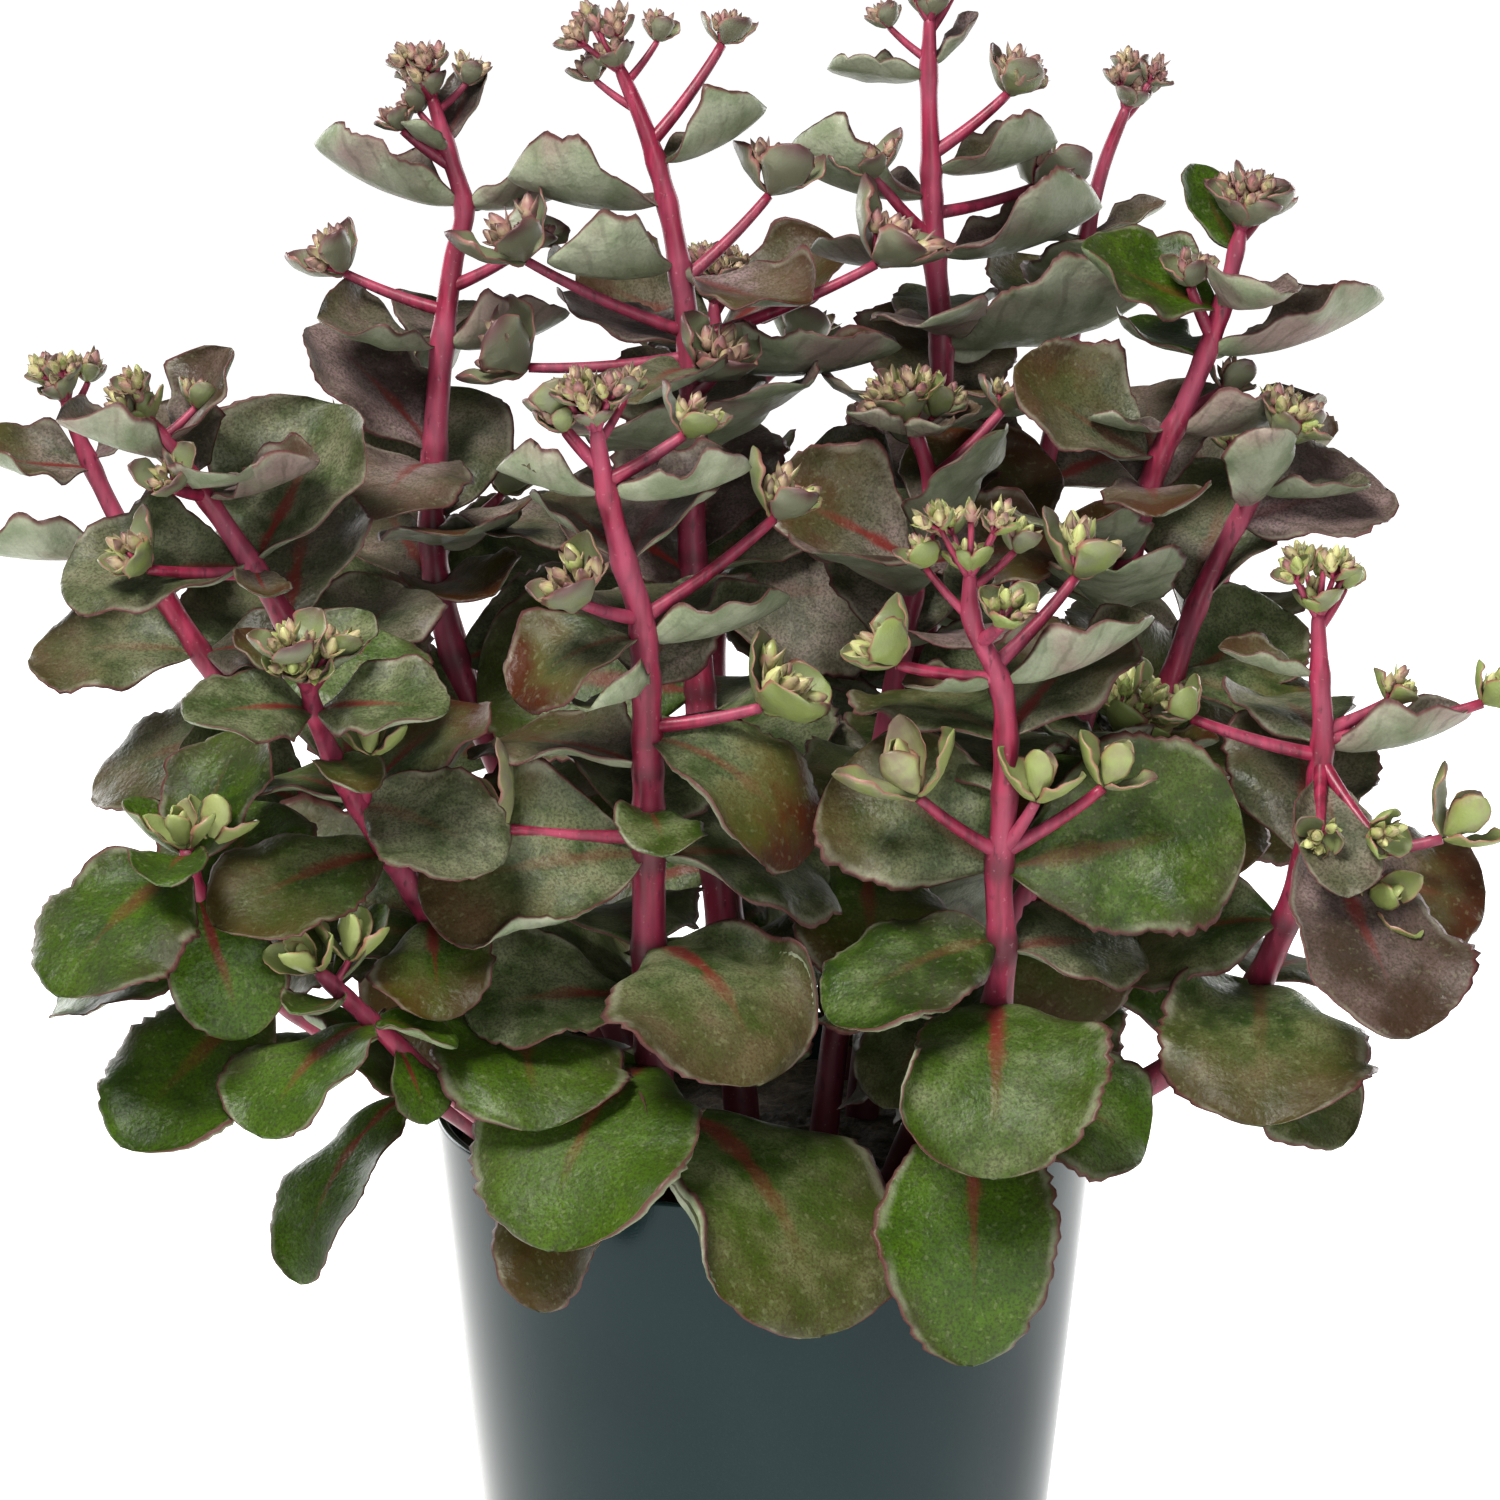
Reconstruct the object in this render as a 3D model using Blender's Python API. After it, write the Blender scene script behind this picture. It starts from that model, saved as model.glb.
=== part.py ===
"""A potted orpine: an upright, bronze-leaved stonecrop that fills a plain tapered pot.

Blender 4.5, metres, +Z up. The origin is the middle of the pot's flat base.
The pot, the potting mix and each leafy stem are solids of their own. A leafy stem is one
grown piece: its leaves and side shoots are fused to it, and no two stems touch.
"""

import math
from collections import namedtuple

import bmesh
import bpy
import numpy as np
from mathutils.bvhtree import BVHTree

MM = 0.001

# Pot
POT_HEIGHT = 160 * MM
POT_TOP_RADIUS = 85 * MM
POT_BASE_RADIUS = 69 * MM
POT_WALL = 2.6 * MM
POT_FLOOR = 4 * MM
POT_BEVEL = 1.5 * MM
POT_SIDES = 32
SHARP_ANGLE = math.radians(35)

# Potting mix
SOIL_TOP = 148 * MM
SOIL_SIDES = 16
ROOT_DEPTH = 24 * MM
GAP = 0.3 * MM

# Leaves
LEAF_THICKNESS = 2.0 * MM
WIDEST_AT = 0.60
BLUNTNESS = 0.56
TOOTH = 0.05
CLEARANCE = 0.7 * MM
MIDDLE_LEAF = 36 * MM
BROAD_LEAF = 49 * MM
STRONG_BEND = math.radians(40)
BASE_SHARE = 0.2
ROOT_SHARE = 0.4
AXIL_STEP = 3
LAST_SHARE = 0.93
SMALL_HEAD = 9.5 * MM
LONG_SHOOT = 34 * MM
BRANCH_SIDES = 3
LEAST_RADIUS = 1e-6
HOLE_SIDES = 5
UPWARD = np.array([0.0, 0.0, 1.0])
ANY_DIRECTION = np.array([0.31, 0.95, 0.05])
STEMS_TINT = ((0.10, 0.13, 0.07), (0.13, 0.10, 0.10), (0.09, 0.15, 0.06), (0.12, 0.12, 0.09))

# Heads of buds, as shares of a head's size: pointed bracts and the gaps between them, then the
# buds inside. A shell's rings are (rise, reach).
HEAD_TURN = 0.48
BRACT_REACH = (1.0, 0.5)
BRACT_RISE = (0.75, 0.25)
BUDS_REACH = (0.42, 0.32)
BUDS_RISE = 0.45
HEAD_TOP = 0.95
HEAD_SHELL = ((0.75, 1.18), (1.1, 0.7))

# Stems
STEM_TIP_RADIUS = 1.3 * MM
STEM_TAPER = 0.45
STEM_SIDES = 5
SHOOT_RADIUS = 1.5
SHOOT_LIFT = 0.1
SHELL_SIDES = 6
CROWN_RADIUS = 1.0
STRAY = 0.6 * MM
CROWN_DROP = 7
CROWN_START = 30
CROWN_RISE = 40
CROWN_JITTER = 12
GOLDEN_ANGLE = 137.5
LEAST_ANGLE = 1e-3
SEED = 41

# Directions are in degrees. Azimuth 0 is right, 90 away from the viewer, 180 left, 270 towards
# the viewer. Rise is the angle above level at the root, and bend is how far the blade then arches
# over towards its tip. Cup is how far each half folds up, and roll tips the blade about its midrib.
# Heights are above the pot's base, and all lengths in the tables are millimetres.
LEAF_COLUMNS = ("height", "azimuth", "rise", "length", "width", "bend", "cup", "roll")
SHOOT_COLUMNS = ("height", "azimuth", "rise", "length", "size")

Stem = namedtuple("Stem", "radius route leaves shoots crown pairs")
Blade = namedtuple("Blade", "root forward up length width bend cup wave phase sunk")
Shoot = namedtuple("Shoot", "root forward up length size radius sunk")

# A stem's crown is (branches, branch length, head size), and its pairs are
# (lowest, highest, azimuth of the lowest): plain pairs of leaves, each pair across the last.
STEMS = {
    "stem_centre_front": Stem(
        radius=4.7,
        route=[(-22, -50, 149), (-26, -57, 172), (-28, -62, 206), (-28, -66, 240), (-28, -70, 270),
               (-29, -72, 297), (-33, -76, 313), (-37, -80, 331), (-39, -82, 345)],
        leaves=[
            (175, 306, 6, 82, 66, 88, 12, 0),
            (187, 228, 14, 68, 60, 84, 14, 0),
            (217, 304, 18, 56, 56, 88, -14, 0),
            (241, 196, 6, 55, 48, 40, 12, 46),
            (270, 328, 0, 50, 38, 86, 16, -26),
            (294, 12, -5, 36, 36, -38, 60, 14),
            (294, 205, 4, 34, 28, 66, 14, 24),
            (285, 246, -25, 24, 24, -38, 56, -20),
            (329, 8, -9, 34, 34, -38, 66, 14),
            (329, 176, -6, 26, 26, -38, 66, -14),
            (312, 60, 40, 36, 30, 20, 25, 0),
            (312, 138, 36, 30, 24, 20, 30, 0),
            (204, 176, -6, 62, 52, 38, 14, 30),
            (240, 24, 4, 54, 46, 44, 16, -24),
            (170, 214, 4, 60, 36, 84, 12, 0),
            (217, 108, 15, 54, 46, 40, 20, 0),
            (191, 56, 2, 52, 44, 40, 20, 0),
            (262, 150, 16, 46, 40, 30, 20, 0),
            (252, 280, 4, 26, 22, 30, 30, 0),
            (282, 84, 52, 46, 42, 16, 24, 0),
            (246, 92, 50, 50, 44, 18, 22, 0),
        ],
        shoots=[(270, 351, 6, 26, 12), (243, 186, 21, 32, 12), (296, 20, 42, 38, 10),
                (329, 10, 24, 20, 8), (296, 222, 12, 17, 10), (332, 168, 42, 14, 7)],
        crown=(2, 12, 5),
        pairs=None,
    ),
    "stem_front_right": Stem(
        radius=4.0,
        route=[(40, -52, 149), (46, -61, 172), (53, -73, 200), (55, -79, 219), (54, -80, 239),
               (55, -82, 259), (54, -84, 284), (47, -85, 300), (46, -85, 312)],
        leaves=[
            (207, 266, 10, 58, 52, 84, 14, 0),
            (184, 268, -14, 74, 40, 70, 10, 0),
            (241, 168, 36, 44, 44, 26, 20, 58),
            (241, 355, 14, 57, 47, 16, 16, -62),
            (221, 24, 4, 38, 34, 20, 16, -24),
            (286, 8, 3, 39, 36, -38, 60, 12),
            (286, 178, -13, 22, 17, -26, 40, 0),
            (259, 92, 25, 44, 38, 40, 25, 0),
            (224, 208, -8, 46, 40, 40, 16, 20),
            (200, 118, 10, 54, 46, 40, 20, 0),
            (186, 342, -2, 44, 38, 44, 12, -24),
            (302, 92, 22, 18, 13, -26, 50, 0),
            (272, 134, 40, 42, 36, 24, 22, 0),
            (272, 46, 40, 42, 36, 24, 22, 0),
            (243, 70, 50, 48, 42, 18, 22, 0),
        ],
        shoots=[(287, 22, 38, 27, 11), (284, 187, 4, 23, 9), (242, 205, 52, 25, 12),
                (242, 316, 48, 16, 9), (242, 345, 30, 28, 8), (293, 296, 24, 10, 7)],
        crown=(2, 16, 5),
        pairs=None,
    ),
    "stem_right_front": Stem(
        radius=3.9,
        route=[(56, -28, 149), (66, -31, 162), (80, -35, 170), (93, -39, 176), (106, -46, 188),
               (118, -56, 206), (127, -66, 238), (130, -70, 268), (129, -70, 284), (128, -70, 300)],
        leaves=[
            (246, 290, -26, 60, 40, 22, 12, 0),
            (238, 352, -4, 44, 38, 26, 12, -36),
            (207, 264, 6, 56, 50, 56, 12, 0),
            (262, 276, -34, 36, 22, 10, 30, 0),
            (268, 10, -8, 38, 34, -38, 60, 12),
            (268, 100, 20, 40, 32, 30, 30, 0),
            (285, 170, 2, 24, 17, -26, 50, 0),
            (207, 60, 5, 50, 42, 30, 16, 0),
            (224, 172, 5, 44, 36, 38, 16, 26),
            (190, 322, -8, 42, 34, 44, 12, -10),
            (240, 84, 50, 44, 38, 18, 22, 0),
        ],
        shoots=[(269, 12, 16, 16, 6), (267, 2, 7, 37, 7), (262, 262, -46, 21, 6),
                (262, 304, -44, 22, 6), (263, 182, 4, 31, 7), (237, 310, -24, 19, 9),
                (237, 350, 6, 31, 10)],
        crown=(1, 13, 5),
        pairs=None,
    ),
    "stem_left_front": Stem(
        radius=3.8,
        route=[(-40, -42, 149), (-50, -47, 172), (-66, -55, 200), (-80, -65, 226), (-92, -76, 250),
               (-99, -84, 266), (-103, -92, 280), (-104, -98, 290)],
        leaves=[
            (281, 222, 14, 33, 28, 22, 20, 22),
            (281, 336, 14, 33, 28, 22, 20, -22),
            (288, 150, 18, 22, 17, -26, 40, 0),
            (288, 52, 24, 24, 19, -26, 40, 0),
            (268, 292, 6, 22, 17, 28, 26, 0),
            (256, 132, 14, 38, 31, 30, 20, 0),
            (256, 350, 2, 40, 32, 38, 16, -32),
            (256, 44, 40, 40, 34, 24, 20, 0),
            (243, 200, -6, 46, 36, 36, 12, 28),
            (232, 62, 10, 42, 34, 38, 16, 0),
            (219, 192, -6, 42, 34, 36, 12, 20),
            (226, 278, -16, 34, 28, 30, 12, 0),
            (184, 60, 6, 50, 42, 40, 16, 0),
            (262, 86, 52, 44, 38, 18, 22, 0),
            (194, 264, 0, 50, 46, 72, 14, 0),
        ],
        shoots=[(284, 256, 34, 12, 8), (252, 300, 38, 14, 7)],
        crown=(1, 9, 6),
        pairs=None,
    ),
    "stem_low_left": Stem(
        radius=3.4,
        route=[(-58, -30, 149), (-74, -41, 168), (-94, -55, 186), (-112, -69, 204), (-126, -80, 221),
               (-132, -85, 236), (-134, -88, 248)],
        leaves=[
            (243, 232, -10, 46, 42, 40, 10, 10),
            (243, 62, 46, 37, 27, 20, 20, 0),
            (246, 264, 8, 25, 18, 20, 30, 0),
            (237, 302, -26, 36, 27, 30, 12, -22),
            (246, 160, 24, 20, 14, -26, 40, 0),
            (222, 176, -4, 46, 36, 38, 12, 26),
            (209, 232, -16, 53, 40, 34, 10, 22),
            (205, 338, 2, 36, 30, 38, 16, 0),
            (190, 122, 6, 48, 40, 38, 16, 0),
            (178, 226, -14, 58, 30, 66, 10, 0),
            (226, 80, 50, 42, 36, 18, 22, 0),
        ],
        shoots=[],
        crown=(1, 6, 8),
        pairs=None,
    ),
    "stem_low_left_small": Stem(
        radius=2.6,
        route=[(-42, -52, 149), (-50, -58, 161), (-60, -65, 170), (-75, -75, 185), (-97, -92, 213),
               (-103, -97, 221)],
        leaves=[
            (217, 150, 26, 21, 14, -26, 40, 0),
            (217, 48, 32, 23, 14, -26, 40, 0),
            (214, 242, -9, 21, 15, -26, 40, 0),
            (207, 330, 20, 22, 16, 20, 30, 0),
            (200, 312, -24, 20, 15, 20, 20, 0),
            (206, 222, -22, 42, 38, 56, 10, 0),
        ],
        shoots=[],
        crown=(1, 4, 8),
        pairs=None,
    ),
    "stem_far_left": Stem(
        radius=4.2,
        route=[(-38, -14, 149), (-52, -18, 175), (-72, -22, 210), (-92, -26, 246), (-112, -30, 282),
               (-122, -30, 300), (-132, -30, 316), (-142, -31, 331), (-148, -32, 340)],
        leaves=[
            (334, 32, 40, 28, 26, -26, 45, 0),
            (331, 200, 10, 30, 32, -20, 50, 0),
            (325, 300, -8, 27, 29, -38, 55, 0),
            (326, 124, 20, 28, 29, -26, 45, 0),
            (321, 346, 6, 30, 32, -26, 50, 0),
            (304, 184, 0, 46, 40, 10, 30, 24),
            (304, 58, 44, 48, 50, -10, 44, 0),
            (304, 288, -23, 20, 15, -26, 45, 0),
            (274, 62, 38, 42, 36, 24, 22, 0),
            (290, 84, 50, 40, 34, 18, 26, 0),
            (260, 100, 50, 46, 40, 18, 22, 0),
        ],
        shoots=[(300, 205, 0, 26, 9), (319, 216, 30, 12, 7)],
        crown=(1, 12, 5),
        pairs=(214, 250, 22),
    ),
    "stem_far_left_back": Stem(
        radius=3.8,
        route=[(-50, 10, 149), (-66, 14, 174), (-92, 18, 205), (-116, 21, 232), (-138, 26, 260),
               (-153, 30, 282), (-166, 31, 304), (-175, 31, 324), (-180, 31, 338)],
        leaves=[
            (320, 204, 2, 32, 34, -20, 44, 16),
            (322, 22, 22, 20, 15, -26, 45, 0),
            (300, 182, -16, 38, 38, -30, 50, -6),
            (300, 350, -8, 26, 18, -26, 45, 0),
            (272, 183, 8, 44, 35, 22, 26, 30),
            (252, 190, -4, 46, 36, 38, 14, 26),
            (286, 88, 20, 34, 26, 20, 35, 0),
            (272, 342, 12, 38, 30, 30, 25, -18),
            (262, 80, 50, 42, 36, 18, 24, 0),
        ],
        shoots=[],
        crown=(1, 9, 5),
        pairs=(206, 232, 112),
    ),
    "stem_left_back": Stem(
        radius=4.5,
        route=[(-30, 28, 149), (-48, 32, 190), (-68, 37, 236), (-82, 40, 270), (-87, 41, 300),
               (-86, 43, 326), (-84, 46, 350), (-81, 49, 372), (-78, 50, 385), (-82, 50, 400),
               (-86, 50, 414)],
        leaves=[
            (386, 180, 4, 42, 41, -38, 75, -16),
            (386, 3, -6, 33, 35, -38, 75, 16),
            (402, 60, 42, 25, 17, -26, 45, 0),
            (400, 232, 8, 17, 13, -26, 50, 0),
            (350, 4, -4, 34, 34, -38, 60, 16),
            (350, 194, 2, 33, 35, -26, 40, 16),
            (352, 92, -1, 32, 30, -26, 40, 0),
            (319, 256, 10, 46, 38, 40, 20, 0),
            (322, 168, 52, 46, 36, 18, 30, 24),
            (302, 340, 15, 46, 38, 28, 26, -14),
            (298, 284, 36, 44, 38, 20, 22, 0),
            (302, 88, 52, 48, 42, 16, 24, 0),
            (268, 4, 14, 52, 46, 24, 14, -56),
        ],
        shoots=[(356, 172, 14, 27, 10), (393, 190, 24, 15, 5), (362, 352, 36, 22, 8)],
        crown=(2, 11, 5),
        pairs=(220, 288, 120),
    ),
    "stem_centre_back": Stem(
        radius=4.7,
        route=[(-6, 16, 149), (-10, 20, 190), (-16, 25, 250), (-19, 29, 300), (-19, 30, 345),
               (-22, 30, 372), (-26, 30, 392), (-31, 30, 408), (-37, 30, 422)],
        leaves=[
            (388, 181, -2, 41, 38, -38, 70, -16),
            (398, 3, 8, 31, 30, -38, 66, 12),
            (372, 206, -14, 35, 36, -38, 66, -16),
            (370, 334, -21, 37, 37, -26, 44, -10),
            (348, 352, -14, 54, 43, -38, 60, 16),
            (352, 150, -3, 40, 30, -26, 36, 0),
            (345, 252, 8, 42, 36, 26, 30, 0),
            (346, 84, 20, 38, 30, 20, 35, 0),
            (322, 232, 38, 46, 40, 20, 22, 0),
            (322, 318, 40, 44, 38, 20, 22, 0),
            (198, 274, 0, 52, 46, 56, 12, 0),
            (324, 92, 54, 48, 42, 14, 24, 0),
            (296, 84, 50, 50, 44, 16, 22, 0),
            (286, 356, 14, 56, 50, 20, 14, -58),
            (262, 182, 10, 58, 52, 24, 14, 58),
            (238, 4, 8, 58, 52, 30, 14, -56),
        ],
        shoots=[(346, 184, -2, 40, 12), (350, 356, 24, 50, 14), (365, 12, 38, 30, 11),
                (336, 296, 12, 14, 11), (352, 190, 26, 44, 12), (400, 20, 46, 30, 7)],
        crown=(2, 14, 5),
        pairs=(216, 292, 20),
    ),
    "stem_right_back": Stem(
        radius=4.5,
        route=[(26, 30, 149), (32, 36, 200), (40, 43, 260), (45, 48, 310), (46, 50, 350),
               (44, 50, 372), (43, 50, 390), (42, 50, 418), (42, 50, 434)],
        leaves=[
            (419, 182, -14, 26, 26, -38, 66, -14),
            (421, 20, 34, 19, 14, -26, 50, 0),
            (388, 180, -2, 40, 40, -38, 74, -16),
            (395, 5, -6, 34, 35, -38, 70, 14),
            (373, 8, -3, 47, 42, -38, 64, 18),
            (373, 190, -8, 32, 32, -38, 60, -14),
            (349, 352, 4, 54, 56, -26, 52, 24),
            (352, 258, 14, 38, 32, 24, 34, 0),
            (352, 84, 20, 38, 30, 20, 35, 0),
            (324, 236, 40, 44, 38, 20, 22, 0),
            (326, 306, 32, 42, 36, 20, 22, 0),
            (328, 86, 54, 48, 42, 14, 24, 0),
            (298, 92, 50, 50, 44, 16, 22, 0),
            (266, 182, 14, 54, 48, 24, 14, 56),
        ],
        shoots=[(396, 8, 32, 24, 10), (381, 16, 26, 32, 10), (374, 200, 40, 22, 8)],
        crown=(2, 14, 5),
        pairs=(222, 296, 30),
    ),
    "stem_right_back_thin": Stem(
        radius=3.4,
        route=[(40, 48, 149), (54, 57, 210), (70, 67, 290), (80, 74, 340), (86, 80, 376),
               (90, 80, 394), (96, 80, 410)],
        leaves=[
            (376, 196, 4, 22, 15, -26, 50, 0),
            (376, 18, 8, 24, 16, -26, 50, 0),
        ],
        shoots=[(350, 20, 40, 22, 8)],
        crown=(1, 11, 5),
        pairs=(230, 350, 10),
    ),
    "stem_right_upper": Stem(
        radius=4.2,
        route=[(46, 6, 149), (58, 4, 190), (74, 2, 240), (88, 1, 290), (97, 0, 324), (104, 0, 340),
               (112, 0, 362), (117, 0, 384)],
        leaves=[
            (378, 118, 36, 27, 19, -26, 36, 0),
            (364, 178, 12, 38, 38, -26, 40, 24),
            (366, 292, -10, 28, 28, -38, 60, 0),
            (353, 3, 5, 47, 41, -38, 64, 14),
            (353, 128, 0, 29, 26, -26, 40, 0),
            (334, 5, -9, 40, 36, -38, 60, 14),
            (334, 186, -4, 21, 15, -26, 50, 0),
            (326, 176, 23, 43, 37, -26, 40, 34),
            (318, 268, 14, 34, 27, 32, 26, 0),
            (300, 230, 44, 42, 36, 20, 22, 0),
            (318, 84, 52, 44, 38, 16, 24, 0),
        ],
        shoots=[(354, 202, 58, 13, 7), (335, 32, 38, 15, 8)],
        crown=(1, 10, 7),
        pairs=(222, 286, 96),
    ),
    "stem_right_mid": Stem(
        radius=4.0,
        route=[(58, -10, 149), (72, -12, 185), (88, -11, 228), (101, -10, 272), (108, -10, 294),
               (118, -10, 315), (127, -10, 332)],
        leaves=[
            (294, 256, 70, 42, 34, 10, 26, 0),
            (290, 196, 56, 42, 32, 14, 26, 30),
            (315, 290, 40, 28, 21, -26, 36, 0),
            (312, 10, 18, 40, 35, 20, 26, -40),
            (320, 350, -8, 28, 19, -26, 50, 0),
            (273, 332, 10, 46, 36, 38, 20, -20),
            (290, 84, 52, 46, 40, 16, 24, 0),
            (256, 92, 50, 48, 42, 18, 22, 0),
        ],
        shoots=[(328, 150, 50, 12, 7)],
        crown=(1, 10, 6),
        pairs=(196, 268, 20),
    ),
    "stem_middle": Stem(
        radius=3.8,
        route=[(14, -18, 149), (20, -16, 200), (30, -10, 260), (38, -4, 300), (41, 0, 320),
               (36, 0, 336)],
        leaves=[
            (333, 200, 6, 19, 15, -26, 45, 0),
            (333, 24, 6, 19, 15, -26, 45, 0),
            (333, 290, 0, 17, 14, -26, 45, 0),
            (305, 326, 58, 38, 31, 10, 26, 0),
            (311, 70, 48, 30, 23, 10, 35, 0),
            (292, 236, 34, 44, 38, 24, 22, 0),
            (280, 300, 24, 44, 38, 30, 20, 0),
            (228, 272, 8, 46, 40, 50, 14, 0),
            (278, 88, 52, 48, 42, 16, 24, 0),
            (252, 184, 12, 54, 48, 24, 14, 56),
        ],
        shoots=[(318, 10, 52, 24, 6)],
        crown=(1, 6, 8),
        pairs=(200, 300, 0),
    ),
    "stem_right_low": Stem(
        radius=3.6,
        route=[(32, -32, 149), (46, -35, 185), (64, -38, 225), (79, -41, 250), (86, -43, 264)],
        leaves=[
            (260, 160, 4, 24, 18, -26, 36, 0),
            (260, 340, 0, 26, 20, -26, 36, 0),
            (262, 252, 2, 22, 17, -26, 36, 0),
            (262, 72, 10, 24, 18, -26, 36, 0),
            (192, 258, -4, 50, 42, 60, 12, 0),
            (238, 86, 50, 44, 38, 18, 22, 0),
        ],
        shoots=[],
        crown=(1, 10, 9),
        pairs=(196, 244, 18),
    ),
    "stem_back_left": Stem(
        radius=3.9,
        route=[(-40, 52, 149), (-56, 64, 190), (-76, 80, 240), (-92, 92, 290), (-98, 98, 330)],
        leaves=[],
        shoots=[(300, 200, 30, 24, 10), (286, 20, 30, 24, 9)],
        crown=(1, 10, 6),
        pairs=(186, 322, 40),
    ),
    "stem_back_centre": Stem(
        radius=4.1,
        route=[(-8, 58, 149), (-10, 72, 195), (-14, 92, 250), (-12, 104, 310), (-14, 108, 356)],
        leaves=[],
        shoots=[(322, 10, 34, 26, 10), (306, 190, 30, 26, 10)],
        crown=(1, 12, 6),
        pairs=(188, 346, 0),
    ),
    "stem_back_right": Stem(
        radius=3.8,
        route=[(64, 30, 149), (84, 46, 190), (106, 62, 240), (122, 72, 280), (130, 76, 312)],
        leaves=[],
        shoots=[(286, 350, 30, 24, 10)],
        crown=(1, 10, 6),
        pairs=(186, 304, 60),
    ),
    "stem_back_low": Stem(
        radius=3.5,
        route=[(22, 66, 149), (34, 84, 184), (48, 104, 224), (56, 118, 262)],
        leaves=[],
        shoots=[],
        crown=(1, 8, 8),
        pairs=(184, 256, 70),
    ),
}

# Crowding: ways to swing a blade or shoot clear, in degrees, and the sizes it may shrink to.
TURNS = (0, 9, -9, 18, -18, 28, -28)
TILTS = (0, 7, -7, 14, -14, 22, -22)
SIZES = (1.0, 0.86, 0.72)
SHELL_START = 0.07
SHELL_END = 1.03
SAME_NODE = 9 * MM

# The rule for a plain pair of leaves, from the lowest pair to the highest.
PAIR_SPACING = 40
PAIR_LENGTH = (62, 42)
PAIR_WIDTH = 0.86
PAIR_RISE = (16, 30)
PAIR_BEND = (84, 10)
PAIR_CUP = (14, 44)
PAIR_ROLL = 48
PAIR_JITTER = 14


def unit(vector):
    return vector / np.linalg.norm(vector)


def aim(azimuth, rise, roll=0.0):
    """The direction a blade points in and the direction its upper face looks in."""
    a, r, t = np.radians([azimuth, rise, roll])
    forward = np.array([math.cos(r) * math.cos(a), math.cos(r) * math.sin(a), math.sin(r)])
    up = np.array([-math.sin(r) * math.cos(a), -math.sin(r) * math.sin(a), math.cos(r)])
    return forward, math.cos(t) * up - math.sin(t) * np.cross(forward, up)


def smooth_route(points, steps=12):
    """A Catmull-Rom curve through the points: each span blends its four nearest points."""
    known = np.array(points, float) * MM
    below = known[0] - np.array([0, 0, 14 * MM])
    known = np.vstack([below, known, 2 * known[-1] - known[-2]])
    t = np.linspace(0, 1, steps, endpoint=False)[:, None]
    spans = []
    for a, b, c, d in zip(known, known[1:], known[2:], known[3:]):
        spans.append(0.5 * (2 * b + (c - a) * t + (2 * a - 5 * b + 4 * c - d) * t**2
                            + (3 * b - a - 3 * c + d) * t**3))
    return np.vstack(spans + [known[-2:-1]])


def stem_point(route, height):
    """Where a stem's axis is at a height."""
    return np.array([np.interp(height, route[:, 2], route[:, axis]) for axis in range(3)])


def tip_axis(route):
    """The direction in which a stem ends."""
    return unit(route[-1] - route[-4])


def stem_radius(stem, route, height):
    """A stem tapers from its full radius at the soil to its thin tip."""
    share = np.clip((route[-1, 2] - height) / (route[-1, 2] - SOIL_TOP), 0, 1)
    return STEM_TIP_RADIUS + (stem.radius * MM - STEM_TIP_RADIUS) * share**STEM_TAPER


def new_blade(stem, route, row, wave, phase):
    """A blade from one row of a leaf table, rooted part way from the stem's axis to its skin."""
    values = dict(zip(LEAF_COLUMNS, row))
    forward, up = aim(values["azimuth"], values["rise"], values["roll"])
    height = values["height"] * MM
    sunk = ROOT_SHARE * stem_radius(stem, route, height)
    return Blade(root=stem_point(route, height) + sunk * forward, forward=forward, up=up,
                 length=values["length"] * MM, width=values["width"] / 2 * MM,
                 bend=math.radians(values["bend"]), cup=math.radians(values["cup"]),
                 wave=wave, phase=phase, sunk=sunk)


def new_shoot(stem, route, row, radius):
    """A side shoot from one row of a shoot table, rooted just above the leaf that it stands in."""
    values = dict(zip(SHOOT_COLUMNS, row))
    forward, up = aim(values["azimuth"], values["rise"])
    height = (values["height"] + AXIL_STEP) * MM
    sunk = ROOT_SHARE * stem_radius(stem, route, height)
    return Shoot(root=stem_point(route, height) + sunk * forward, forward=forward, up=up,
                 length=values["length"] * MM, size=values["size"] * MM, radius=radius * MM,
                 sunk=sunk)


def pair_rows(pairs, draw):
    """Leaf rows for plain pairs that climb a stem, each pair turned a quarter from the last. The side
    of a leaf that is nearer the viewer hangs a little."""
    if pairs is None:
        return []
    low, high, azimuth = pairs
    count = max(2, round((high - low) / PAIR_SPACING) + 1)
    rows = []
    for i, share in enumerate(np.linspace(0, 1, count)):
        length, rise, bend, cup = (
            first + (last - first) * share
            for first, last in (PAIR_LENGTH, PAIR_RISE, PAIR_BEND, PAIR_CUP))
        for side in (0, 180):
            turn, tilt, tip = draw.uniform(-PAIR_JITTER, PAIR_JITTER, 3)
            heading = azimuth + 90 * i + side + turn
            roll = tip - PAIR_ROLL * math.cos(math.radians(heading))
            rows.append((low + (high - low) * share, heading, rise + tilt / 2, length,
                         PAIR_WIDTH * length, bend + tilt, cup, roll))
    return rows


def crown_rows(route, crown, draw):
    """Short branches that open round a stem's tip, each a golden angle on from the last."""
    count, length, size = crown
    top = route[-1, 2] / MM
    rows = []
    for i in range(count):
        turn, tilt = draw.uniform(-CROWN_JITTER, CROWN_JITTER, 2)
        rows.append((top - CROWN_DROP * (i + 1), GOLDEN_ANGLE * i + CROWN_START + turn,
                     CROWN_RISE + tilt, length * (0.9 + 0.01 * turn), size))
    return rows


def half_width(u):
    """A leaf's half width along its length, as a share: a sine swelled to be widest past the middle."""
    power = math.log(0.5) / math.log(WIDEST_AT)
    return np.sin(math.pi * np.clip(u, 0, 1) ** power) ** BLUNTNESS


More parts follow.
